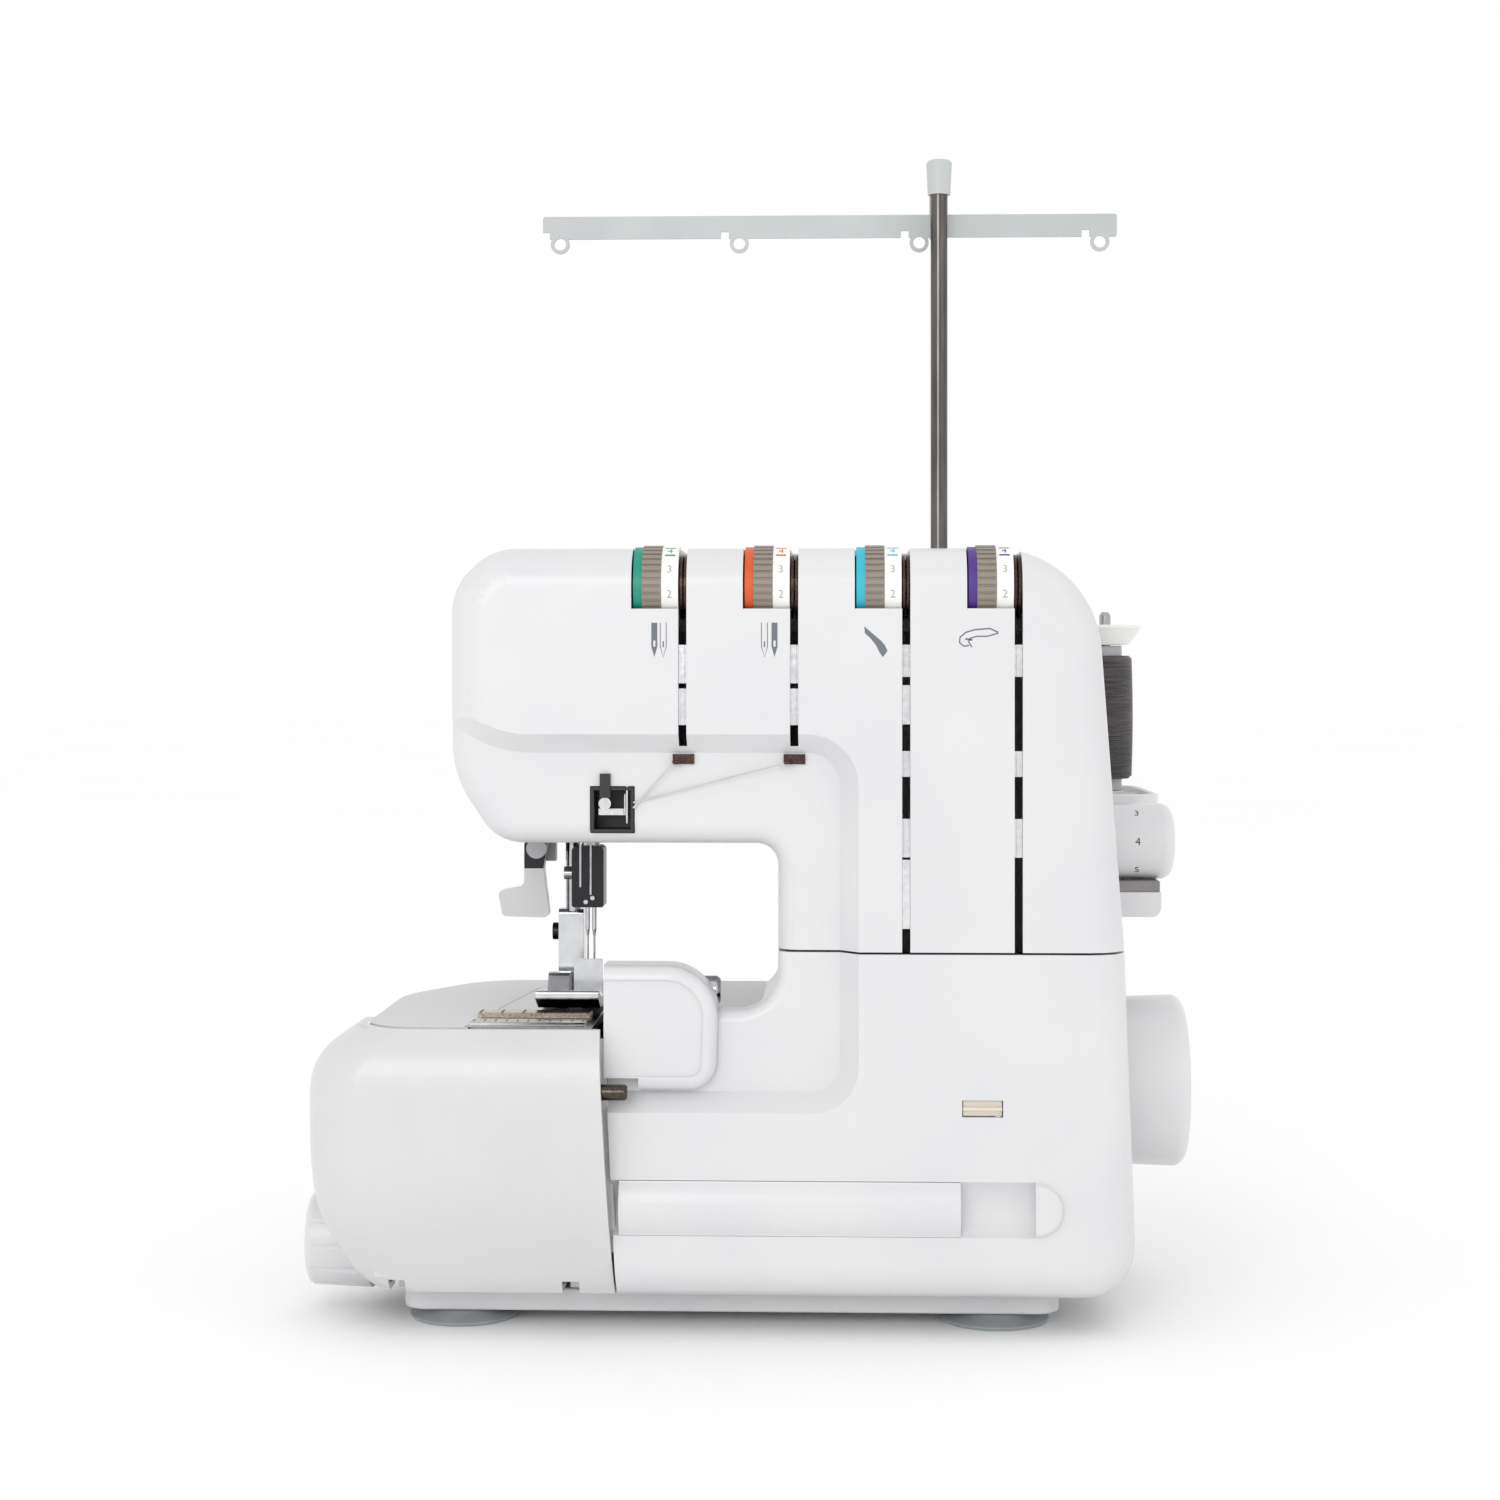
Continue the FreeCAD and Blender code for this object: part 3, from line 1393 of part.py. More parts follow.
def power_inlet():
    """Two-pin mains inlet and, above it, the fixed frame of the switch."""
    x = side_x(inlet_z + inlet_tall / 2)
    y = inlet_y + inlet_wide / 2
    z = inlet_z + inlet_tall / 2
    mouth = [(y - 4.5, z - 8, 4), (y + 4.5, z - 8, 4), (y + 4.5, z + 8, 4), (y - 4.5, z + 8, 4)]
    inlet = wall_socket(inlet_z, inlet_tall).cut(prism_x(mouth, x - inlet_deep + 2, x + 5))
    pins = [rod_x(x - inlet_deep + 1, x - 3, y, z + side * contact_gap / 2, contact_r) for side in (-1, 1)]
    return Part.makeCompound([joined([inlet] + pins), switch_frame()])


def switch_frame():
    x = side_x(switch_z + switch_tall / 2)
    low = switch_z + 3
    high = switch_z + switch_tall - 3
    well = box(x - 12, x + 5, inlet_y + 2.6, inlet_y + inlet_wide - 2.6, low, high)
    axle = rod_y(x - 2, inlet_y + 1, inlet_y + inlet_wide - 1, switch_z + switch_tall / 2, axle_r)
    return joined([wall_socket(switch_z, switch_tall).cut(well), axle])


def switch_rocker():
    z = switch_z + switch_tall / 2
    x = side_x(z)
    outline = [
        (x - 9, z - 4, 0),
        (x - 3, z - 4, 0),
        (x + 2, z - 5.6, 1),
        (x + 1.2, z, 12),
        (x + 4, z + 5.4, 1),
        (x - 2, z + 4.6, 0),
        (x - 9, z + 4, 0),
    ]
    rocker = prism_y(outline, inlet_y + 3, inlet_y + inlet_wide - 3)
    return rocker.cut(rod_y(x - 2, inlet_y, inlet_y + inlet_wide, z, axle_r + fit))


def spool_tray():
    """Shallow rimmed tray behind the machine, with a boss for each spool pin and a socket for the pole."""
    left = arm_left + 5
    right = half_width - 2
    front = rear_y + 0.3
    plan = [(left, front, 4), (right, front, 12), (right, half_depth, 16), (left, half_depth, 16)]
    tray = prism_z(plan, tray_z, tray_z + tray_rim)
    tray = tray.cut(prism_z(inset(plan, wall), tray_z + 3, tray_z + tray_rim + 4))
    for x in pin_places():
        tray = tray.fuse(rod_z(x, pin_y, tray_z + 2, tray_z + boss_top, 8))
    tray = tray.fuse(rod_z(pole_x, pole_y, tray_z, tray_z + 14, pole_tube_r + 3.5)).removeSplitter()
    holes = [rod_z(x, pin_y, tray_z + 1, tray_z + boss_top + 4, pin_root_r + 0.02) for x in pin_places()]
    holes.append(rod_z(pole_x, pole_y, tray_z + 2, tray_z + 20, pole_tube_r + 0.02))
    return tray.cut(holes)


def pin_places():
    return [pin_first + pin_pitch * i for i in range(4)]


def spool_pins():
    """Four pins, each with a thicker root pressed into its boss and a blunt tip."""
    pins = []
    for x in pin_places():
        profile = [
            (0, tray_z + 1, 0),
            (pin_root_r, tray_z + 1, 0),
            (pin_root_r, tray_z + boss_top, 0),
            (pin_r, tray_z + boss_top, 0),
            (pin_r, pin_top - 1.5, 0),
            (pin_r - 1, pin_top, 0),
            (0, pin_top, 0),
        ]
        pins.append(turned_z(profile, x, pin_y))
    return Part.makeCompound(pins)


def spool_core():
    low = tray_z + boss_top + 0.2
    hole = pin_r + 0.5
    profile = [(hole, low, 0), (core_r, low, 0), (core_r, core_top, 0), (hole, core_top, 0)]
    return turned_z(profile, pin_places()[3], pin_y)


def thread_winding():
    """Wound thread as a crowned barrel with sloped ends."""
    inside = core_r + 0.05
    middle = (winding_low + winding_top) / 2
    profile = [
        (inside, winding_low, 0),
        (winding_r - 1.9, winding_low, 0),
        (winding_r - 0.7, winding_low + 1.4, 0),
        (winding_r, middle, 60),
        (winding_r - 0.5, winding_top - 1.4, 0),
        (winding_r - 1.7, winding_top, 0),
        (inside, winding_top, 0),
    ]
    return turned_z(profile, pin_places()[3], pin_y)


def spool_cap():
    """Dish-shaped cap that keeps the spool on its pin."""
    low = core_top + 0.4
    hole = pin_r + 0.5
    profile = [
        (hole, low, 0),
        (cap_r - 5.6, low, 0),
        (cap_r, low + 7.6, 0),
        (cap_r, low + 8.8, 0),
        (hole, low + 7.1, 0),
    ]
    return turned_z(profile, pin_places()[3], pin_y)


def pole_tube():
    tube = rod_z(pole_x, pole_y, tray_z + 2, pole_tube_top, pole_tube_r)
    return tube.cut(rod_z(pole_x, pole_y, tray_z + 4, pole_tube_top + 1, pole_r + 2 * fit))


def thread_pole():
    rod = rod_z(pole_x, pole_y, pole_tube_top - 18, pole_top, pole_r)
    return rod.makeChamfer(0.6, [e for e in rod.Edges if e.CenterOfMass.z > pole_top - 1])


def pole_cap():
    """Cap on the pole's top, with a web at its back that carries the guide bar."""
    low = pole_top - 12
    top = pole_top + 3
    r = pole_r + 1.2
    profile = [(0, low, 0), (r, low, 0), (r + 0.7, top - 1.2, 0), (r - 0.3, top, 0), (0, top, 0)]
    web = box(pole_x - 4, pole_x + 4, pole_y + r - 0.7, pole_y + bar_set_back, bar_z - 1, pole_top - 4)
    cap = turned_z(profile, pole_x, pole_y).fuse(web).removeSplitter()
    return cap.cut(rod_z(pole_x, pole_y, bar_z - 5, pole_top + 0.1, pole_r + fit))


def guide_bar():
    """Flat bar with four hanging eyes for the threads and a small slit beside each eye."""
    y0 = pole_y + bar_set_back
    y1 = y0 + bar_thick
    top = bar_z + bar_tall
    outline = [(bar_left, bar_z, 1), (bar_right, bar_z, 1), (bar_right, top, 1), (bar_left, top, 1)]
    bar = prism_y(outline, y0, y1)
    z = bar_z - 2.2
    for x in eye_places():
        bar = bar.fuse(rod_y(x, y0, y1, z, eye_r))
        slit = box(x - 8, x - eye_r - 0.4, y0 - 1, y1 + 1, bar_z - 1, bar_z + 3)
        bar = bar.cut([rod_y(x, y0 - 1, y1 + 1, z, eye_hole_r), slit])
    return bar.removeSplitter()


def eye_places():
    pitch = (bar_right - bar_left - 15) / 3
    return [bar_left + 7.6 + pitch * i for i in range(4)]


def save_all():
    save("base_plate", base_plate())
    save("suction_feet", suction_feet())
    save("main_frame", main_frame())
    save("upper_front_cover", upper_front_cover())
    save("lower_front_cover", lower_front_cover())
    save("rear_cover", rear_cover())
    save("cloth_plate", cloth_plate())
    save("needle_plate", needle_plate())
    save("seam_gauge", seam_gauge())
    save("knife_guard", knife_guard())
    save("tool_tube", tool_tube())
    save("indicator_window", indicator_window())
    for i in range(4):
        save("tension_wheel_%d" % (i + 1), tension_wheel(i))
    save("tension_units", tension_units())
    save("thread_guides", thread_guides())
    save("needle_threads", needle_threads())
    save("take_up_box", take_up_box())
    save("bearing_bushes", bearing_bushes())
    save("main_shaft", main_shaft())
    save("handwheel", handwheel())
    save("shaft_pulley", pulley(shaft_z, shaft_pulley_r, shaft_r + 0.02))
    save("motor_pulley", motor_pulley())
    save("drive_belt", drive_belt())
    save("motor", motor())
    save("needle_rocker", needle_rocker())
    save("needle_bar", needle_bar())
    save("needle_clamp", needle_clamp())
    save("clamp_screws", clamp_screws())
    save("needles", needles())
    save("presser_bar", presser_bar())
    save("presser_foot", presser_foot())
    save("presser_lever", presser_lever())
    save("knife_bracket", knife_bracket())
    save("lower_knife", lower_knife())
    save("upper_knife_arm", upper_knife_arm())
    save("upper_knife", upper_knife())
    save("upper_looper", upper_looper())
    save("lower_looper", lower_looper())
    save("feed_dogs", feed_dogs())
    save("looper_cover", looper_cover())
    save("hinge_brackets", hinge_brackets())
    save("latch_pin", latch_pin())
    save("stitch_length_dial", stitch_length_dial())
    save("dial_rest", dial_rest())
    save("feed_dial", feed_dial())
    save("power_inlet", power_inlet())
    save("switch_rocker", switch_rocker())
    save("spool_tray", spool_tray())
    save("spool_pins", spool_pins())
    save("spool_core", spool_core())
    save("thread_winding", thread_winding())
    save("spool_cap", spool_cap())
    save("pole_tube", pole_tube())
    save("thread_pole", thread_pole())
    save("pole_cap", pole_cap())
    save("guide_bar", guide_bar())


save_all()
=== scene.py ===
import json
import math

import bmesh
import bpy
from mathutils import Matrix, Vector


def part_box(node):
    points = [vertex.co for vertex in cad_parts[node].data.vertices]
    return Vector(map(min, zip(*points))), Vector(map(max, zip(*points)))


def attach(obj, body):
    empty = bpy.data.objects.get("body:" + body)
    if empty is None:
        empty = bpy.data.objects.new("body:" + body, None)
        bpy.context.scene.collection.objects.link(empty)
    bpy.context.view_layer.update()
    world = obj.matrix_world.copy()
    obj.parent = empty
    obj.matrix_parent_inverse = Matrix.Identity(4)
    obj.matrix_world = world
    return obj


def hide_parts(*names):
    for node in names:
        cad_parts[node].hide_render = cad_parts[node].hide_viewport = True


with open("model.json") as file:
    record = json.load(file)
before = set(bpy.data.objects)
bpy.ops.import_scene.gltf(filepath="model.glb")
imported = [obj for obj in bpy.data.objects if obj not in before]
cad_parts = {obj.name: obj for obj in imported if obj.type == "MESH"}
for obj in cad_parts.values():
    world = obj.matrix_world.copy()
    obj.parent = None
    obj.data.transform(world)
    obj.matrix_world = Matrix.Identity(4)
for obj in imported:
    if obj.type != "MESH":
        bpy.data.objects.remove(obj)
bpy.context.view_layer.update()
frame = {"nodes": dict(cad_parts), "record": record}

# Base plate
# A white moulded tray that closes the machine from below and carries the four feet.
# Injection-moulded ABS: smooth and glossy, with a faint orange-peel from the mould.
MM = 0.001
body_of = {node: body for body, nodes in frame["record"]["behaviour"]["bodies"].items() for node in nodes}


def linear(code):
    """sRGB hex colour as linear red, green, blue and alpha."""
    shares = [int(code[i:i + 2], 16) / 255 for i in (0, 2, 4)]
    return tuple(s / 12.92 if s <= 0.04045 else ((s + 0.055) / 1.055) ** 2.4 for s in shares) + (1.0,)


def add(tree, kind, settings=None, links=None):
    """Adds one node: settings go to its inputs or its own properties, links to its inputs."""
    made = tree.nodes.new(kind)
    for key, value in (settings or {}).items():
        if isinstance(key, int) or key in made.inputs:
            made.inputs[key].default_value = value
        else:
            setattr(made, key, value)
    for key, source in (links or {}).items():
        tree.links.new(source, made.inputs[key])
    return made


def new_material(name):
    """Empty node tree with an output and the Object coordinates that every finish here reads."""
    material = bpy.data.materials.new(name)
    material.use_nodes = True
    tree = material.node_tree
    tree.nodes.clear()
    place = add(tree, "ShaderNodeTexCoord").outputs["Object"]
    return material, tree, place


def moulded_plastic(name, colour, shade, roughness, peel_mm=1.6, coat=0.0, subsurface=0.0):
    """Moulded plastic: two close tones in soft clouds, slight orange-peel, gloss that varies a little."""
    cloud_mm = 45
    material, tree, place = new_material(name)
    cloud = add(tree, "ShaderNodeTexNoise", {"Scale": 1 / (cloud_mm * MM), "Detail": 3.0}, {"Vector": place})
    tone = add(tree, "ShaderNodeValToRGB", None, {"Fac": cloud.outputs["Fac"]})
    tone.color_ramp.elements[0].position = 0.35
    tone.color_ramp.elements[0].color = linear(shade)
    tone.color_ramp.elements[1].position = 0.65
    tone.color_ramp.elements[1].color = linear(colour)
    gloss = add(tree, "ShaderNodeMapRange", {"To Min": roughness * 0.85, "To Max": roughness * 1.15},
                {"Value": cloud.outputs["Fac"]})
    peel = add(tree, "ShaderNodeTexNoise", {"Scale": 1 / (peel_mm * MM), "Detail": 2.0}, {"Vector": place})
    bump = add(tree, "ShaderNodeBump", {"Strength": 0.06, "Distance": 0.2 * MM},
               {"Height": peel.outputs["Fac"]})
    shader = add(tree, "ShaderNodeBsdfPrincipled",
                 {"IOR": 1.53, "Coat Weight": coat, "Coat Roughness": 0.08, "Subsurface Weight": subsurface,
                  "Subsurface Radius": (2 * MM, 2 * MM, 2 * MM), "Subsurface Scale": 1.0},
                 {"Base Color": tone.outputs["Color"], "Roughness": gloss.outputs["Result"],
                  "Normal": bump.outputs["Normal"]})
    add(tree, "ShaderNodeOutputMaterial", None, {"Surface": shader.outputs["BSDF"]})
    return material


def dress(node, material, break_mm=0.3, angle=32, second=None, where=None, split_z=None):
    """Shows a CAD node as one merged, smooth-shaded copy with its sharp edges slightly broken.

    Faces whose middle, in millimetres, passes the where test take the second material.
    A split height cuts faces that reach across it, so that the two materials meet there.
    """
    weld = 0.002 * MM
    flat = math.radians(0.4)
    sharp = math.radians(angle)
    mesh = frame["nodes"][node].data.copy()
    mesh.name = node + "_mesh"
    mesh.materials.clear()
    work = bmesh.new()
    work.from_mesh(mesh)
    bmesh.ops.remove_doubles(work, verts=work.verts, dist=weld)
    bmesh.ops.dissolve_degenerate(work, edges=work.edges, dist=weld)
    bmesh.ops.dissolve_limit(work, angle_limit=flat, verts=work.verts, edges=work.edges)
    if split_z:
        whole = list(work.verts) + list(work.edges) + list(work.faces)
        bmesh.ops.bisect_plane(work, geom=whole, plane_co=(0, 0, split_z * MM), plane_no=(0, 0, 1))
    for face in work.faces:
        face.smooth = True
        face.material_index = int(bool(second and where(face.calc_center_median() / MM)))
    for edge in work.edges:
        edge.smooth = len(edge.link_faces) == 2 and edge.calc_face_angle() < sharp
    work.to_mesh(mesh)
    work.free()
    for finish in (material, second):
        if finish:
            mesh.materials.append(finish)
    piece = bpy.data.objects.new(node + "_finish", mesh)
    bpy.context.scene.collection.objects.link(piece)
    if break_mm:
        bevel = piece.modifiers.new("broken edges", "BEVEL")
        bevel.width = break_mm * MM
        bevel.segments = 2
        bevel.limit_method = "ANGLE"
        bevel.angle_limit = sharp
        bevel.use_clamp_overlap = True
    normals = piece.modifiers.new("face normals", "WEIGHTED_NORMAL")
    normals.keep_sharp = True
    normals.weight = 80
    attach(piece, body_of[node])
    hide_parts(node)


white_abs = moulded_plastic("glossy white ABS", "DBDBDC", "D7D7D9", 0.30, coat=0.1)
dress("base_plate", white_abs, 0.8)

# Suction feet
# Four soft feet pressed into sockets under the base plate; they grip a table.
# Moulded grey rubber: dull, slightly dusty, with a sheen at grazing angles.


def soft_rubber(name, colour, shade):
    """Dull rubber: two tones in fine dusty clouds that also roughen the skin."""
    dust_mm = 6
    material, tree, place = new_material(name)
    dust = add(tree, "ShaderNodeTexNoise", {"Scale": 1 / (dust_mm * MM), "Detail": 6.0}, {"Vector": place})
    tone = add(tree, "ShaderNodeValToRGB", None, {"Fac": dust.outputs["Fac"]})
    tone.color_ramp.elements[0].color = linear(shade)
    tone.color_ramp.elements[1].color = linear(colour)
    bump = add(tree, "ShaderNodeBump", {"Strength": 0.15, "Distance": 0.1 * MM},
               {"Height": dust.outputs["Fac"]})
    shader = add(tree, "ShaderNodeBsdfPrincipled",
                 {"Roughness": 0.62, "IOR": 1.5, "Sheen Weight": 0.15},
                 {"Base Color": tone.outputs["Color"], "Normal": bump.outputs["Normal"]})
    add(tree, "ShaderNodeOutputMaterial", None, {"Surface": shader.outputs["BSDF"]})
    return material


dress("suction_feet", soft_rubber("grey foot rubber", "A3A8AC", "8E9498"), 0.3)

# Cast frame and bearings
# The hidden skeleton: an aluminium die casting that holds every shaft, with bronze bushes pressed in.
# Blasted after casting, so its skin is grainy and scatters light; the bushes are turned and oily.


def metal(name, colour, shade, roughness, grain_mm, stretch=(1, 1, 1), depth=0.1):
    """Bare metal: two close tones and a fine grain that also roughens the highlight."""
    material, tree, place = new_material(name)
    scaled = add(tree, "ShaderNodeMapping", {"Scale": stretch}, {"Vector": place})
    grain = add(tree, "ShaderNodeTexNoise", {"Scale": 1 / (grain_mm * MM), "Detail": 4.0},
                {"Vector": scaled.outputs["Vector"]})
    tone = add(tree, "ShaderNodeValToRGB", None, {"Fac": grain.outputs["Fac"]})
    tone.color_ramp.elements[0].position = 0.3
    tone.color_ramp.elements[0].color = linear(shade)
    tone.color_ramp.elements[1].position = 0.7
    tone.color_ramp.elements[1].color = linear(colour)
    gloss = add(tree, "ShaderNodeMapRange", {"To Min": roughness * 0.7, "To Max": roughness * 1.3},
                {"Value": grain.outputs["Fac"]})
    bump = add(tree, "ShaderNodeBump", {"Strength": depth, "Distance": 0.05 * MM},
               {"Height": grain.outputs["Fac"]})
    shader = add(tree, "ShaderNodeBsdfPrincipled", {"Metallic": 1.0},
                 {"Base Color": tone.outputs["Color"], "Roughness": gloss.outputs["Result"],
                  "Normal": bump.outputs["Normal"]})
    add(tree, "ShaderNodeOutputMaterial", None, {"Surface": shader.outputs["BSDF"]})
    return material


cast_aluminium = metal("blasted cast aluminium", "B7B9BB", "9C9EA0", 0.52, 0.8, depth=0.4)
sintered_bronze = metal("sintered bronze", "B08A58", "96713F", 0.35, 0.4)
dress("main_frame", cast_aluminium, 0)
dress("bearing_bushes", sintered_bronze, 0)

# Drive line
# A steel main shaft with eccentrics, driven by a motor through a toothed rubber belt on alloy pulleys.
# Ground steel shows fine lines round the turn; the motor can is black enamelled sheet.
ground_steel = metal("ground steel", "B9BABC", "A2A3A5", 0.24, 0.25, stretch=(1, 1, 6))
bright_chrome = metal("bright chrome plate", "C6C7C9", "AFB0B3", 0.08, 3.0, depth=0.02)
# Chrome for the thread pole and its tube, darkened all over as a painted reflection of dark surroundings.
chrome_with_painted_dark_reflection = metal("chrome plate darkened as painted reflection", "6C6967", "555250", 0.12, 3.0, stretch=(1, 1, 0.1), depth=0.02)
turned_alloy = metal("turned aluminium", "CFD0D2", "BDBEC0", 0.28, 0.3, stretch=(8, 1, 1))
black_enamel = moulded_plastic("black enamel", "1B1B1D", "151517", 0.34, peel_mm=2.2, coat=0.2)
belt_rubber = soft_rubber("black belt rubber", "242426", "1B1B1C")
dress("main_shaft", ground_steel, 0)
dress("shaft_pulley", turned_alloy, 0)
dress("motor_pulley", turned_alloy, 0)
dress("drive_belt", belt_rubber, 0)
dress("motor", black_enamel, 0.5)

# Needle rocker, loopers, knives and feed
# Small hardened steel levers inside the head and under the plate; they swing together with each stitch.
# Polished where thread runs over them, ground elsewhere; the rocker and the bracket are cast alloy.
dress("needle_rocker", cast_aluminium, 0)
dress("upper_looper", bright_chrome, 0.2)
dress("lower_looper", bright_chrome, 0.2)
dress("feed_dogs", ground_steel, 0)
dress("knife_bracket", cast_aluminium, 0.4)
dress("lower_knife", ground_steel, 0)
dress("upper_knife_arm", bright_chrome, 0.4)
dress("upper_knife", ground_steel, 0)

# Shells
# Three white ABS covers round the casting: upper front, lower front and rear, meeting at thin dark seams.
# The front has a raised panel with a sloped border round the sunk needle area.
dress("rear_cover", white_abs, 0.5)
dress("upper_front_cover", white_abs, 0.5)
dress("lower_front_cover", white_abs, 0.5)
dress("tool_tube", white_abs, 0.5)
dress("knife_guard", white_abs, 0.6)

# Threading marks
# Small slate-grey pictures printed under the tension wheels: which needle or looper each thread serves.
# Pad-printed ink, a few hundredths of a millimetre proud of the upper cover's face.
slate_ink = moulded_plastic("slate grey printing ink", "6C7178", "656A71", 0.5, peel_mm=0.8)
white_ink = moulded_plastic("white printing ink", "DBDBDC", "D7D7D9", 0.5, peel_mm=0.8)
print_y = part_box("upper_front_cover")[0].y - 0.03 * MM


def add_piece(name, mesh, node, materials):
    """Links a mesh as a piece that moves with the body of a CAD node."""
    for material in materials:
        mesh.materials.append(material)
    piece = bpy.data.objects.new(name, mesh)
    bpy.context.scene.collection.objects.link(piece)
    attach(piece, body_of[node])


def stroke(points, wide):
    """Outline of a pen stroke of some width along a line of points."""
    line = [Vector(point) for point in points]
    left = []
    right = []
    for i, point in enumerate(line):
        along = (line[min(i + 1, len(line) - 1)] - line[max(i - 1, 0)]).normalized()
        side = Vector((-along.y, along.x)) * wide / 2
        left.append(point + side)
        right.append(point - side)
    return right + left[::-1]


def print_marks(name, outlines, material, y):
    """Flat prints on the front: each outline is a list of (x, z) in millimetres, anticlockwise."""
    points = []
    faces = []
    for outline in outlines:
        faces.append(list(range(len(points), len(points) + len(outline))))
        points += [(u * MM, y, v * MM) for u, v in outline]
    mesh = bpy.data.meshes.new(name)
    mesh.from_pydata(points, [], faces)
    add_piece(name, mesh, "upper_front_cover", [material])


def needle_outline(x):
    """Open outline of a needle that points down, as (x, z) in millimetres."""
    top, waist, tip, half = 264.6, 255.8, 251.9, 1.1
    return [(x - half, top), (x - half, waist), (x, tip), (x + half, waist), (x + half, top)]


# Under the first two wheels one needle is filled and the other hollow. The other two wheels have a looper each.
needle_pairs = ((-34.3, -31.0), (10.0, 6.3))
eye_half, eye_low, eye_high = 0.4, 255.8, 258.0
fine_line, thick_line = 0.3, 0.5
outlines = []
eyes = []
for filled, hollow in needle_pairs:
    outlines.append(needle_outline(filled))
    outlines.append(stroke(needle_outline(hollow), fine_line))
    outlines.append(stroke([(hollow, 257.8), (hollow, 255.6)], thick_line))
    eyes.append([(filled - eye_half, eye_high), (filled - eye_half, eye_low),
                 (filled + eye_half, eye_low), (filled + eye_half, eye_high)])
blade = [(43.0, 263.3), (43.2, 260.7), (45.2, 258.9), (47.2, 256.4), (48.6, 253.6), (49.8, 251.9),
         (51.5, 254.2), (50.6, 256.2), (49.2, 257.9), (47.2, 259.6), (45.2, 261.3)]
hook = [(92.1, 261.0), (89.0, 262.4), (83.6, 262.0), (80.2, 261.0), (78.1, 259.2), (77.9, 257.2),
        (79.6, 255.9), (81.4, 256.2)]
inner = [(92.1, 260.7), (88.4, 259.6), (84.0, 259.5), (81.8, 258.8), (81.2, 257.6), (82.4, 255.6)]
barb = [(80.0, 258.6), (82.6, 258.2)]
outlines += [blade, stroke(hook, 0.55), stroke(inner, thick_line), stroke(barb, 0.7)]
print_marks("threading_marks", outlines, slate_ink, print_y)
print_marks("needle_eyes", eyes, white_ink, print_y - 0.02 * MM)

# Indicator window
# A cream-tinted insert with a raised bar, set in a cut-out of the lower cover.
# Moulded plastic, a little duller than the cover round it.
dress("indicator_window", moulded_plastic("cream tinted insert", "EAE3D8", "D9D0C2", 0.35), 0.15)

# Looper cover
# The swinging front door of the bed: a cushion-shaped ABS shell on two hinge brackets, a touch greyer than the
# body. A plated latch pin stands out of its right edge; its plating is darkened as a painted reflection.
door_abs = moulded_plastic("glossy off-white ABS", "D4D4D5", "D0D0D1", 0.32, coat=0.1)
dress("looper_cover", door_abs, 0.5)
dress("hinge_brackets", ground_steel, 0.3)
# The pin's chrome is darkened as a painted reflection of dark surroundings.
dress("latch_pin", metal("chrome darkened as painted reflection", "60574F", "3E3731", 0.14, 0.8), 0.2)
# The lower cover's left edge returns behind the door, so that no dark gap shows beside it.
# It is drawn as a plain strip, 6.5 mm wide and 1 mm thick.
return_edge = [(-48.4, 32.0), (-52.9, 110.8)]
return_front, return_back, return_wide = -117.6, -116.6, 6.5
return_corners = [(x - shift, y, z) for x, z in return_edge
                  for y in (return_front, return_back) for shift in (0.0, return_wide)]
return_mesh = bpy.data.meshes.new("cover_return")
return_mesh.from_pydata([Vector(corner) * MM for corner in return_corners], [],
                        [(0, 1, 5, 4), (3, 2, 6, 7), (2, 0, 4, 6), (1, 3, 7, 5), (0, 2, 3, 1), (4, 5, 7, 6)])
add_piece("cover_return", return_mesh, "lower_front_cover", [white_abs])

# Bed
# An enamelled cloth plate, with the steel needle plate let into it and two gauge strips in front of the foot.
# The needle plate is ground and polished; the strips are plated, with printed divisions and a bright nickel
# front edge that is a painted highlight.
enamel_white = moulded_plastic("white enamel plate", "C9C9CA", "C7C7C8", 0.32, coat=0.05)
dress("cloth_plate", enamel_white, 0.3)
polished_steel = metal("polished plate steel", "8F8F90", "747476", 0.16, 0.6, stretch=(1, 6, 1))
nickel_plate = metal("nickel plate", "E2E3E5", "CFD0D2", 0.16, 2.0, depth=0.02)
plated_gauge = metal("bronze plated gauge", "C9C0B1", "998E7E", 0.3, 1.2)
gauge_low, gauge_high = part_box("seam_gauge")
# Faces along the strips' front edge take bright nickel as a painted highlight.
painted_highlight_edge = gauge_low.y / MM + 1.6
dress("needle_plate", polished_steel, 0.3)
dress("seam_gauge", plated_gauge, 0.2, second=nickel_plate, where=lambda p: p.y < painted_highlight_edge)


def keep_nodes(name, group, values, node, material):
    """Runs a Geometry Nodes group once with its named inputs and keeps the result as a plain mesh."""
    blank = bpy.data.objects.new(name, bpy.data.meshes.new(name))
    bpy.context.scene.collection.objects.link(blank)
    modifier = blank.modifiers.new(name, "NODES")
    modifier.node_group = group
    for item in group.interface.items_tree:
        if item.in_out == "INPUT":
            modifier[item.identifier] = values[item.name]
    shaped = blank.evaluated_get(bpy.context.evaluated_depsgraph_get())
    mesh = bpy.data.meshes.new_from_object(shaped)
    bpy.data.objects.remove(blank)
    mesh.materials.clear()
    add_piece(name, mesh, node, [material])


def named_group(name, sockets):
    """Geometry Nodes group with named inputs and one geometry output."""
    group = bpy.data.node_groups.new(name, "GeometryNodeTree")
    group.interface.new_socket("Geometry", in_out="OUTPUT", socket_type="NodeSocketGeometry")
    for label, kind in sockets:
        group.interface.new_socket(label, in_out="INPUT", socket_type=kind)
    return group, add(group, "NodeGroupInput").outputs


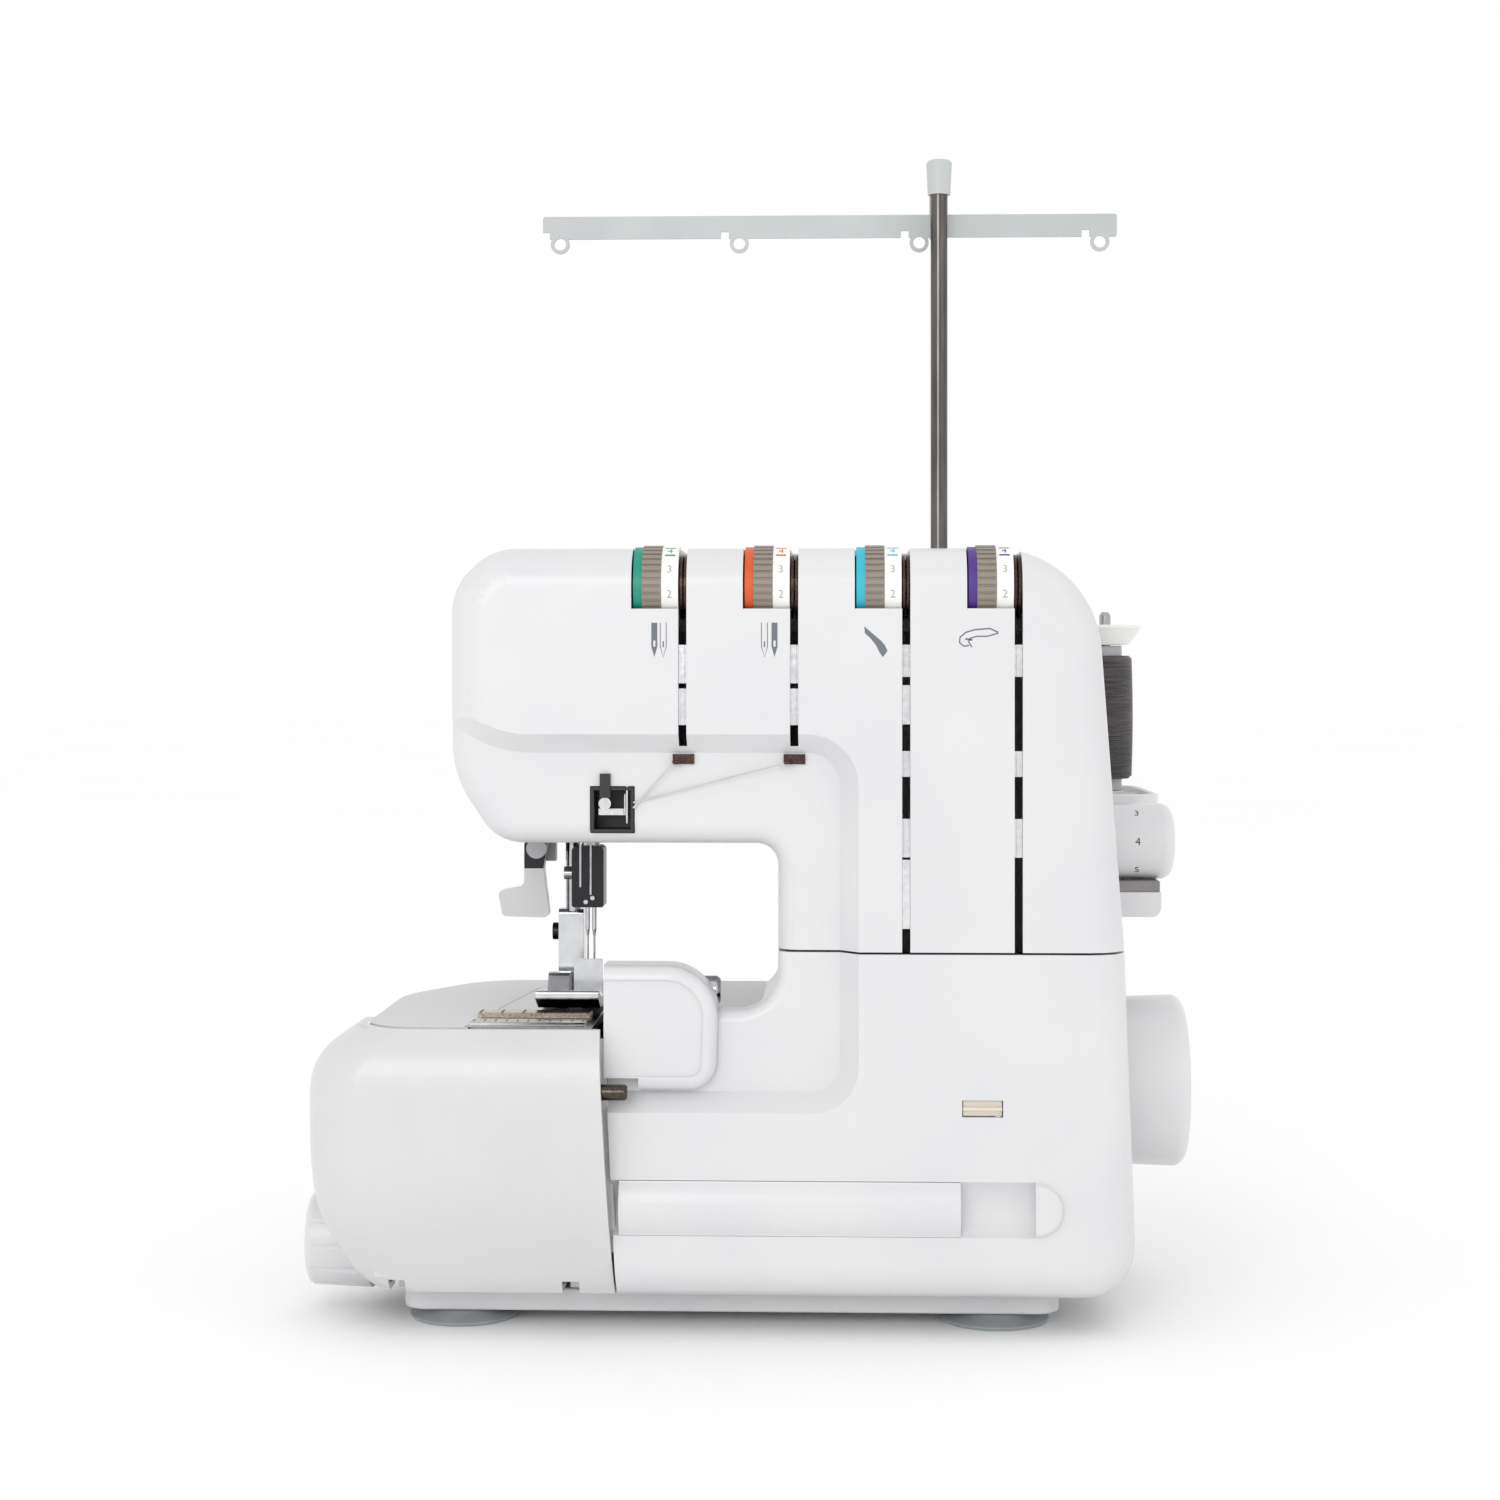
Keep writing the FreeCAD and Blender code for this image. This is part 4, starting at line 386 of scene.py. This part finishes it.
row_sockets = [("Count", "NodeSocketInt"), ("Start", "NodeSocketVector"), ("Step", "NodeSocketVector"),
               ("Size", "NodeSocketVector"), ("Material", "NodeSocketMaterial")]
row_group, row_in = named_group("row of division bars", row_sockets)
row = add(row_group, "GeometryNodeMeshLine", {"mode": "OFFSET"},
          {"Count": row_in["Count"], "Start Location": row_in["Start"], "Offset": row_in["Step"]})
bar = add(row_group, "GeometryNodeMeshCube", None, {"Size": row_in["Size"]})
bars = add(row_group, "GeometryNodeInstanceOnPoints", None,
           {"Points": row.outputs["Mesh"], "Instance": bar.outputs["Mesh"]})
real_bars = add(row_group, "GeometryNodeRealizeInstances", None, {"Geometry": bars.outputs["Instances"]})
inked_bars = add(row_group, "GeometryNodeSetMaterial", None,
                 {"Geometry": real_bars.outputs["Geometry"], "Material": row_in["Material"]})
add(row_group, "NodeGroupOutput", None, {"Geometry": inked_bars.outputs["Geometry"]})
scale_ink = moulded_plastic("black scale ink", "2A2724", "211F1C", 0.5)
# Each row of divisions: its name, how many, their middle in Y and Z, how deep and how wide they are.
rear_row = ("rear_divisions", 6, gauge_high.y - 6 * MM, 116.6 * MM, 9 * MM, 0.9 * MM)
front_row = ("front_divisions", 11, gauge_low.y + 6.5 * MM, 115.9 * MM, 5 * MM, 0.6 * MM)
for label, count, y, z, deep, wide in (rear_row, front_row):
    pitch = (gauge_high.x - gauge_low.x - 2 * MM) / (count - 1)
    keep_nodes("gauge_" + label, row_group,
               {"Count": count, "Start": (gauge_low.x + MM, y, z), "Step": (pitch, 0, 0),
                "Size": (wide, deep, 0.06 * MM), "Material": scale_ink}, "seam_gauge", scale_ink)

# Tension wheels
# Four thumb wheels on fixed spindles. Each has a coloured rim at the left, a knurled grey-brown grip in the
# middle and a white scale ring at the right.
wheel_colours = ["0E8F78", "D2571B", "2CB5CB", "4B2A86"]
grip_colour = "8C8379"
scale_colour = "F0EFEC"
rim_end = 3.2 * MM
grip_end = 10.4 * MM


def wheel_plastic(name, left, colour):
    """Three bands across the wheel, split by how far along the spindle a point lies."""
    material, tree, place = new_material(name)
    along = add(tree, "ShaderNodeSeparateXYZ", None, {"Vector": place}).outputs["X"]
    past_rim = add(tree, "ShaderNodeMath", {"operation": "GREATER_THAN", 1: left + rim_end}, {0: along})
    past_grip = add(tree, "ShaderNodeMath", {"operation": "GREATER_THAN", 1: left + grip_end}, {0: along})
    grip = add(tree, "ShaderNodeMix", {"data_type": "RGBA", 6: linear(colour), 7: linear(grip_colour)},
               {0: past_rim.outputs["Value"]})
    band = add(tree, "ShaderNodeMix", {"data_type": "RGBA", 7: linear(scale_colour)},
               {0: past_grip.outputs["Value"], 6: grip.outputs[2]})
    fine = add(tree, "ShaderNodeTexNoise", {"Scale": 1 / (0.6 * MM), "Detail": 3.0}, {"Vector": place})
    bump = add(tree, "ShaderNodeBump", {"Strength": 0.1, "Distance": 0.05 * MM},
               {"Height": fine.outputs["Fac"]})
    shader = add(tree, "ShaderNodeBsdfPrincipled", {"Roughness": 0.38, "IOR": 1.5},
                 {"Base Color": band.outputs[2], "Normal": bump.outputs["Normal"]})
    add(tree, "ShaderNodeOutputMaterial", None, {"Surface": shader.outputs["BSDF"]})
    return material


for number, colour in enumerate(wheel_colours, 1):
    wheel = "tension_wheel_%d" % number
    dress(wheel, wheel_plastic("wheel plastic %d" % number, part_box(wheel)[0].x, colour), 0.15)


def text_mesh(words, tall):
    """One word of the built-in sans type as a flat mesh, centred, with capitals of some height."""
    capital_share = 0.7
    curve = bpy.data.curves.new("print", "FONT")
    curve.body = words
    curve.size = tall / capital_share
    curve.align_x = "CENTER"
    curve.align_y = "CENTER"
    curve.resolution_u = 4
    holder = bpy.data.objects.new("print", curve)
    bpy.context.scene.collection.objects.link(holder)
    mesh = bpy.data.meshes.new_from_object(holder.evaluated_get(bpy.context.evaluated_depsgraph_get()))
    bpy.data.objects.remove(holder)
    return mesh


def drum_print(name, node, prints, radius, inks):
    """Wraps flat prints on a drum that turns about X.

    Each print is (mesh, place along X, degrees above the front, number of its ink).
    """
    low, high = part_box(node)
    middle = (low + high) / 2
    points = []
    faces = []
    used = []
    for flat, x, angle, ink in prints:
        first = len(points)
        for vertex in flat.vertices:
            turn = math.radians(angle) + vertex.co.y / radius
            points.append((x + vertex.co.x, middle.y - radius * math.cos(turn),
                           middle.z + radius * math.sin(turn)))
        faces += [[first + i for i in face.vertices] for face in flat.polygons]
        used += [ink] * len(flat.polygons)
    mesh = bpy.data.meshes.new(name)
    mesh.from_pydata(points, [], faces)
    for face, ink in zip(mesh.polygons, used):
        face.material_index = ink
    add_piece(name, mesh, node, inks)


digits = [text_mesh(str(number), 3.0 * MM) for number in range(10)]
bar_mesh = bpy.data.meshes.new("mark bar")
bar_corners = ((-1.9, -0.45), (1.9, -0.45), (1.9, 0.45), (-1.9, 0.45))
bar_mesh.from_pydata([(u * MM, v * MM, 0) for u, v in bar_corners], [], [(0, 1, 2, 3)])
pale_ink = moulded_plastic("pale grey printing ink", "A9A7A3", "A19F9B", 0.5, peel_mm=0.8)
# The ten digits go round the wheel. The usual setting, 4, is printed in the wheel's colour between two bars.
digit_step = 36
usual = 4
usual_angle = 60
bar_angle = 10.5
print_radius = 15.13 * MM
for number, colour in enumerate(wheel_colours, 1):
    wheel = "tension_wheel_%d" % number
    scale_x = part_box(wheel)[0].x + 13.4 * MM
    prints = [(digits[k], scale_x, usual_angle + digit_step * (k - usual), int(k == usual)) for k in range(10)]
    prints += [(bar_mesh, scale_x, usual_angle + side * bar_angle, 1) for side in (-1, 1)]
    colour_ink = moulded_plastic("wheel ink %d" % number, colour, colour, 0.5)
    drum_print("tension_scale_%d" % number, wheel, prints, print_radius, [pale_ink, colour_ink])

# Thread path
# Spindles, discs and bent guides inside the slots, the needle threads and the black take-up box.
# The discs and the two leaf guides are browned spring steel; the tabs in the slots are bright nickel plate.
sewing_thread = moulded_plastic("pale sewing thread", "CFCDC9", "BDBAB5", 0.6, peel_mm=0.3)
satin_black = moulded_plastic("satin black plastic", "1C1C1E", "161617", 0.42)
browned_steel = metal("browned spring steel", "5C4A42", "3C2F2A", 0.25, 0.8)
dress("tension_units", browned_steel, 0)


def on_leaf(p):
    """Whether a point, in millimetres, lies on one of the two leaf guides under the first two slots."""
    return p.z < 217 and p.y < -111 and -35 < p.x < 35


dress("thread_guides", nickel_plate, 0.15, second=browned_steel, where=on_leaf)
dress("needle_threads", sewing_thread, 0)
dress("take_up_box", satin_black, 0.2)


def keep_work(name, work, node, material):
    """Keeps a bmesh as a piece that moves with the body of a CAD node."""
    mesh = bpy.data.meshes.new(name)
    work.to_mesh(mesh)
    work.free()
    add_piece(name, mesh, node, [material])


def upright_wires(name, node, wires, material):
    """Short upright wires in front of a node.

    Each wire is (share of the node's width, depth, low, high, radius), the last four in millimetres.
    """
    low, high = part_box(node)
    work = bmesh.new()
    for share, deep, bottom, top, radius in wires:
        middle = Vector((low.x + share * (high.x - low.x), low.y + deep * MM,
                         low.z + (bottom + top) / 2 * MM))
        bmesh.ops.create_cone(work, cap_ends=True, segments=20, radius1=radius * MM, radius2=radius * MM,
                              depth=(top - bottom) * MM, matrix=Matrix.Translation(middle))
    keep_work(name, work, node, material)


upright_wires("take_up_wire", "take_up_box", [(0.84, 2.6, 3.4, 19.0, 0.6)], nickel_plate)
# The take-up lever turns on a screw with a low bright head.
pivot_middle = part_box("take_up_box")[0] + Vector((5.0, 4.2, 10.6)) * MM
facing_front = Matrix.Rotation(math.radians(90), 4, "X")
pivot = bmesh.new()
bmesh.ops.create_cone(pivot, cap_ends=True, segments=24, radius1=2.0 * MM, radius2=2.3 * MM, depth=1.6 * MM,
                      matrix=Matrix.Translation(pivot_middle) @ facing_front)
keep_work("take_up_pivot", pivot, "take_up_box", nickel_plate)
# Two more bright tabs stand in the third slot, between those of the solid.
tab_x, tab_y, tab_wide, tab_thick = 58.4, -118.2, 2.8, 0.8
tabs = bmesh.new()
for bottom, top in ((152.0, 177.4), (227.2, 241.6)):
    middle = Vector((tab_x, tab_y, (bottom + top) / 2)) * MM
    size = Matrix.Diagonal((tab_wide * MM, tab_thick * MM, (top - bottom) * MM, 1.0))
    bmesh.ops.create_cube(tabs, size=1.0, matrix=Matrix.Translation(middle) @ size)
keep_work("slot_tabs", tabs, "thread_guides", nickel_plate)

# Needle and presser
# A chromed needle bar with a blackened clamp and two needles, and a presser bar with its foot and lever.
# Two bright wires on the clamp's front lead the needle threads; the lever's paddle is moulded on a steel arm.
black_steel = metal("blackened steel", "3A3A3C", "2A2A2C", 0.32, 0.5)
dress("needle_bar", bright_chrome, 0)
dress("needle_clamp", black_steel, 0.3)
dress("clamp_screws", bright_chrome, 0.15)
dress("needles", bright_chrome, 0)
dress("presser_bar", bright_chrome, 0)
satin_nickel = metal("satin nickel plate", "CDCED0", "BDBEC0", 0.22, 4.0, depth=0.02)
# The foot's underside is black as painted shade, and the head of its clamp screw is black; so is the arm of the
# lever above its paddle.
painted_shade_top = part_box("presser_foot")[0].z / MM + 3.9
screw_end = -78.1
paddle_top = 168.5
# Faces below the sole's top take black steel as painted shade; only the screw head is truly black.
dress("presser_foot", satin_nickel, 0.3, second=black_steel, where=lambda p: p.z < painted_shade_top or p.x < screw_end)
dress("presser_lever", white_abs, 0.6, second=black_steel, where=lambda p: p.z > paddle_top, split_z=paddle_top)
clamp_wires = [(0.28, -0.45, 8.0, 25.0, 0.5), (0.6, -0.45, 5.0, 25.0, 0.5)]
upright_wires("clamp_wires", "needle_clamp", clamp_wires, bright_chrome)

# Dials, handwheel and mains inlet
# White ABS knobs on the two ends of the machine, and a black inlet with its rocker switch.
# The stitch length dial has black printed numbers, and a rest with a grey pad below it.
dress("handwheel", white_abs, 0.4)
dress("stitch_length_dial", white_abs, 0.3)
grey_plastic = moulded_plastic("light grey plastic", "BFC2C2", "B6B9B9", 0.4)
rest_pad = soft_rubber("grey rest pad", "918D8B", "7F7B79")
pad_low = 157.7
dress("dial_rest", white_abs, 0.4, second=rest_pad, where=lambda p: p.z > pad_low)
dial_x = 153.6 * MM
dial_radius = 15.33 * MM
shown, shown_angle, number_step = 4, 2, 48
dial_digits = [(text_mesh(str(number), 3.2 * MM), dial_x, shown_angle + number_step * (shown - number), 0)
               for number in range(1, 6)]
drum_print("stitch_length_scale", "stitch_length_dial", dial_digits, dial_radius, [scale_ink])
dress("feed_dial", white_abs, 0.3)
dress("power_inlet", satin_black, 0.3)
dress("switch_rocker", satin_black, 0.3)

# Thread stand
# A white tray behind the body with steel spool pins, a telescopic chromed pole and a grey guide bar with eyes.
# The pole slides in a fixed tube; the chrome of both is darkened as a painted reflection; bar and cap are
# moulded light grey plastic.
dress("spool_tray", white_abs, 0.6)
dress("spool_pins", ground_steel, 0)
dress("pole_tube", chrome_with_painted_dark_reflection, 0.2)
dress("thread_pole", chrome_with_painted_dark_reflection, 0)
dress("pole_cap", grey_plastic, 0.4)
dress("guide_bar", grey_plastic, 0.2)

# Spool
# One spool of thread on the right-hand pin: a silver-grey core, dark winding and a white cap.
# The winding is polyester thread in close turns, dull, with bands of lighter and darker layers.
dress("spool_core", moulded_plastic("silver grey core", "B9BABC", "A9AAAC", 0.3), 0.2)
dark_thread, thread_tree, thread_place = new_material("dark polyester thread")
flat_place = add(thread_tree, "ShaderNodeMapping", {"Scale": (1, 1, 26)}, {"Vector": thread_place})
layers = add(thread_tree, "ShaderNodeTexNoise", {"Scale": 1 / (12 * MM), "Detail": 5.0},
             {"Vector": flat_place.outputs["Vector"]})
thread_tone = add(thread_tree, "ShaderNodeValToRGB", None, {"Fac": layers.outputs["Fac"]})
thread_tone.color_ramp.elements[0].position = 0.36
thread_tone.color_ramp.elements[0].color = linear("2B292C")
thread_tone.color_ramp.elements[1].position = 0.68
thread_tone.color_ramp.elements[1].color = linear("5A5351")
thread_shader = add(thread_tree, "ShaderNodeBsdfPrincipled", {"Roughness": 0.6, "Sheen Weight": 0.2},
                    {"Base Color": thread_tone.outputs["Color"]})
add(thread_tree, "ShaderNodeOutputMaterial", None, {"Surface": thread_shader.outputs["BSDF"]})
dress("thread_winding", dark_thread, 0)
coil_sockets = [("Turns", "NodeSocketFloat"), ("Radius", "NodeSocketFloat"), ("Height", "NodeSocketFloat"),
                ("Thread", "NodeSocketFloat"), ("Place", "NodeSocketVector"),
                ("Material", "NodeSocketMaterial")]
coil_group, coil_in = named_group("wound thread", coil_sockets)
coil = add(coil_group, "GeometryNodeCurveSpiral", {"Resolution": 28},
           {"Rotations": coil_in["Turns"], "Start Radius": coil_in["Radius"], "End Radius": coil_in["Radius"],
            "Height": coil_in["Height"]})
share = add(coil_group, "GeometryNodeSplineParameter").outputs["Factor"]
half_turn = add(coil_group, "ShaderNodeMath", {"operation": "MULTIPLY", 1: math.pi}, {0: share})
crown = add(coil_group, "ShaderNodeMath", {"operation": "SINE"}, {0: half_turn.outputs[0]})
crown_share = 0.045
swell = add(coil_group, "ShaderNodeMath", {"operation": "MULTIPLY_ADD", 1: crown_share, 2: 1.0},
            {0: crown.outputs[0]})
spread = add(coil_group, "ShaderNodeCombineXYZ", {"Z": 1.0}, {"X": swell.outputs[0], "Y": swell.outputs[0]})
at = add(coil_group, "GeometryNodeInputPosition").outputs["Position"]
grown = add(coil_group, "ShaderNodeVectorMath", {"operation": "MULTIPLY"},
            {0: at, 1: spread.outputs["Vector"]})
moved = add(coil_group, "ShaderNodeVectorMath", {"operation": "ADD"},
            {0: grown.outputs[0], 1: coil_in["Place"]})
wound = add(coil_group, "GeometryNodeSetPosition", None,
            {"Geometry": coil.outputs["Curve"], "Position": moved.outputs[0]})
strand = add(coil_group, "GeometryNodeCurvePrimitiveCircle", {"Resolution": 6}, {"Radius": coil_in["Thread"]})
tube = add(coil_group, "GeometryNodeCurveToMesh", None,
           {"Curve": wound.outputs["Geometry"], "Profile Curve": strand.outputs["Curve"]})
dyed = add(coil_group, "GeometryNodeSetMaterial", None,
           {"Geometry": tube.outputs["Mesh"], "Material": coil_in["Material"]})
add(coil_group, "NodeGroupOutput", None, {"Geometry": dyed.outputs["Geometry"]})
wind_low, wind_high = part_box("thread_winding")
wind_middle = (wind_low + wind_high) / 2
# The turns are drawn three times as thick as real thread, so that they still show at this size.
keep_nodes("wound_turns", coil_group,
           {"Turns": 58.0, "Radius": 11.55 * MM, "Height": 51.6 * MM, "Thread": 0.45 * MM,
            "Place": (wind_middle.x, wind_middle.y, wind_low.z + 1.5 * MM), "Material": dark_thread},
           "thread_winding", dark_thread)
dress("spool_cap", moulded_plastic("milky white cap", "EFEFEC", "E9E9E6", 0.3, subsurface=0.1), 0.2)

# Studio
# A pale floor that runs back to the horizon, soft daylight all round and two large lamps.
# The camera stands level in front of the machine, a touch to its right; its place and lens were fitted
# to the machine's outline in the photograph.
floor_mesh = bpy.data.meshes.new("floor")
reach = 12.0
floor_mesh.from_pydata([(-reach, -reach, 0), (reach, -reach, 0), (reach, reach, 0), (-reach, reach, 0)], [],
                       [(0, 1, 2, 3)])
floor = bpy.data.objects.new("floor", floor_mesh)
bpy.context.scene.collection.objects.link(floor)
floor_material, floor_tree, floor_place = new_material("pale studio floor")
floor_cloud = add(floor_tree, "ShaderNodeTexNoise", {"Scale": 2.0, "Detail": 2.0}, {"Vector": floor_place})
floor_tone = add(floor_tree, "ShaderNodeValToRGB", None, {"Fac": floor_cloud.outputs["Fac"]})
floor_tone.color_ramp.elements[0].color = linear("FCFCFC")
floor_tone.color_ramp.elements[1].color = linear("FFFFFF")
floor_shader = add(floor_tree, "ShaderNodeBsdfPrincipled", {"Roughness": 0.8},
                   {"Base Color": floor_tone.outputs["Color"]})
add(floor_tree, "ShaderNodeOutputMaterial", None, {"Surface": floor_shader.outputs["BSDF"]})
floor_mesh.materials.append(floor_material)

world = bpy.data.worlds.new("soft daylight")
world.use_nodes = True
world.node_tree.nodes["Background"].inputs["Color"].default_value = (1.0, 1.0, 1.0, 1.0)
world.node_tree.nodes["Background"].inputs["Strength"].default_value = 1.0
bpy.context.scene.world = world
bpy.context.scene.view_settings.view_transform = "Standard"

for name, place, aim, size, power in (("key lamp", (-0.45, -1.8, 0.75), (0, 0, 0.2), 0.8, 6.0),
                                      ("fill lamp", (1.4, -1.2, 0.9), (0, 0, 0.2), 0.9, 0.8)):
    lamp = bpy.data.lights.new(name, "AREA")
    lamp.size = size
    lamp.energy = power
    holder = bpy.data.objects.new(name, lamp)
    holder.location = place
    holder.rotation_euler = (Vector(aim) - Vector(place)).to_track_quat("-Z", "Y").to_euler()
    bpy.context.scene.collection.objects.link(holder)

lens_data = bpy.data.cameras.new("camera")
lens_data.lens = 63.6
lens_data.sensor_width = 36
lens_data.shift_y = -0.053
lens_data.clip_end = 40
camera = bpy.data.objects.new("camera", lens_data)
camera.location = (0.0350, -1.0944, 0.2470)
camera.rotation_euler = (math.radians(90), 0, math.radians(2))
bpy.context.scene.collection.objects.link(camera)
bpy.context.scene.camera = camera
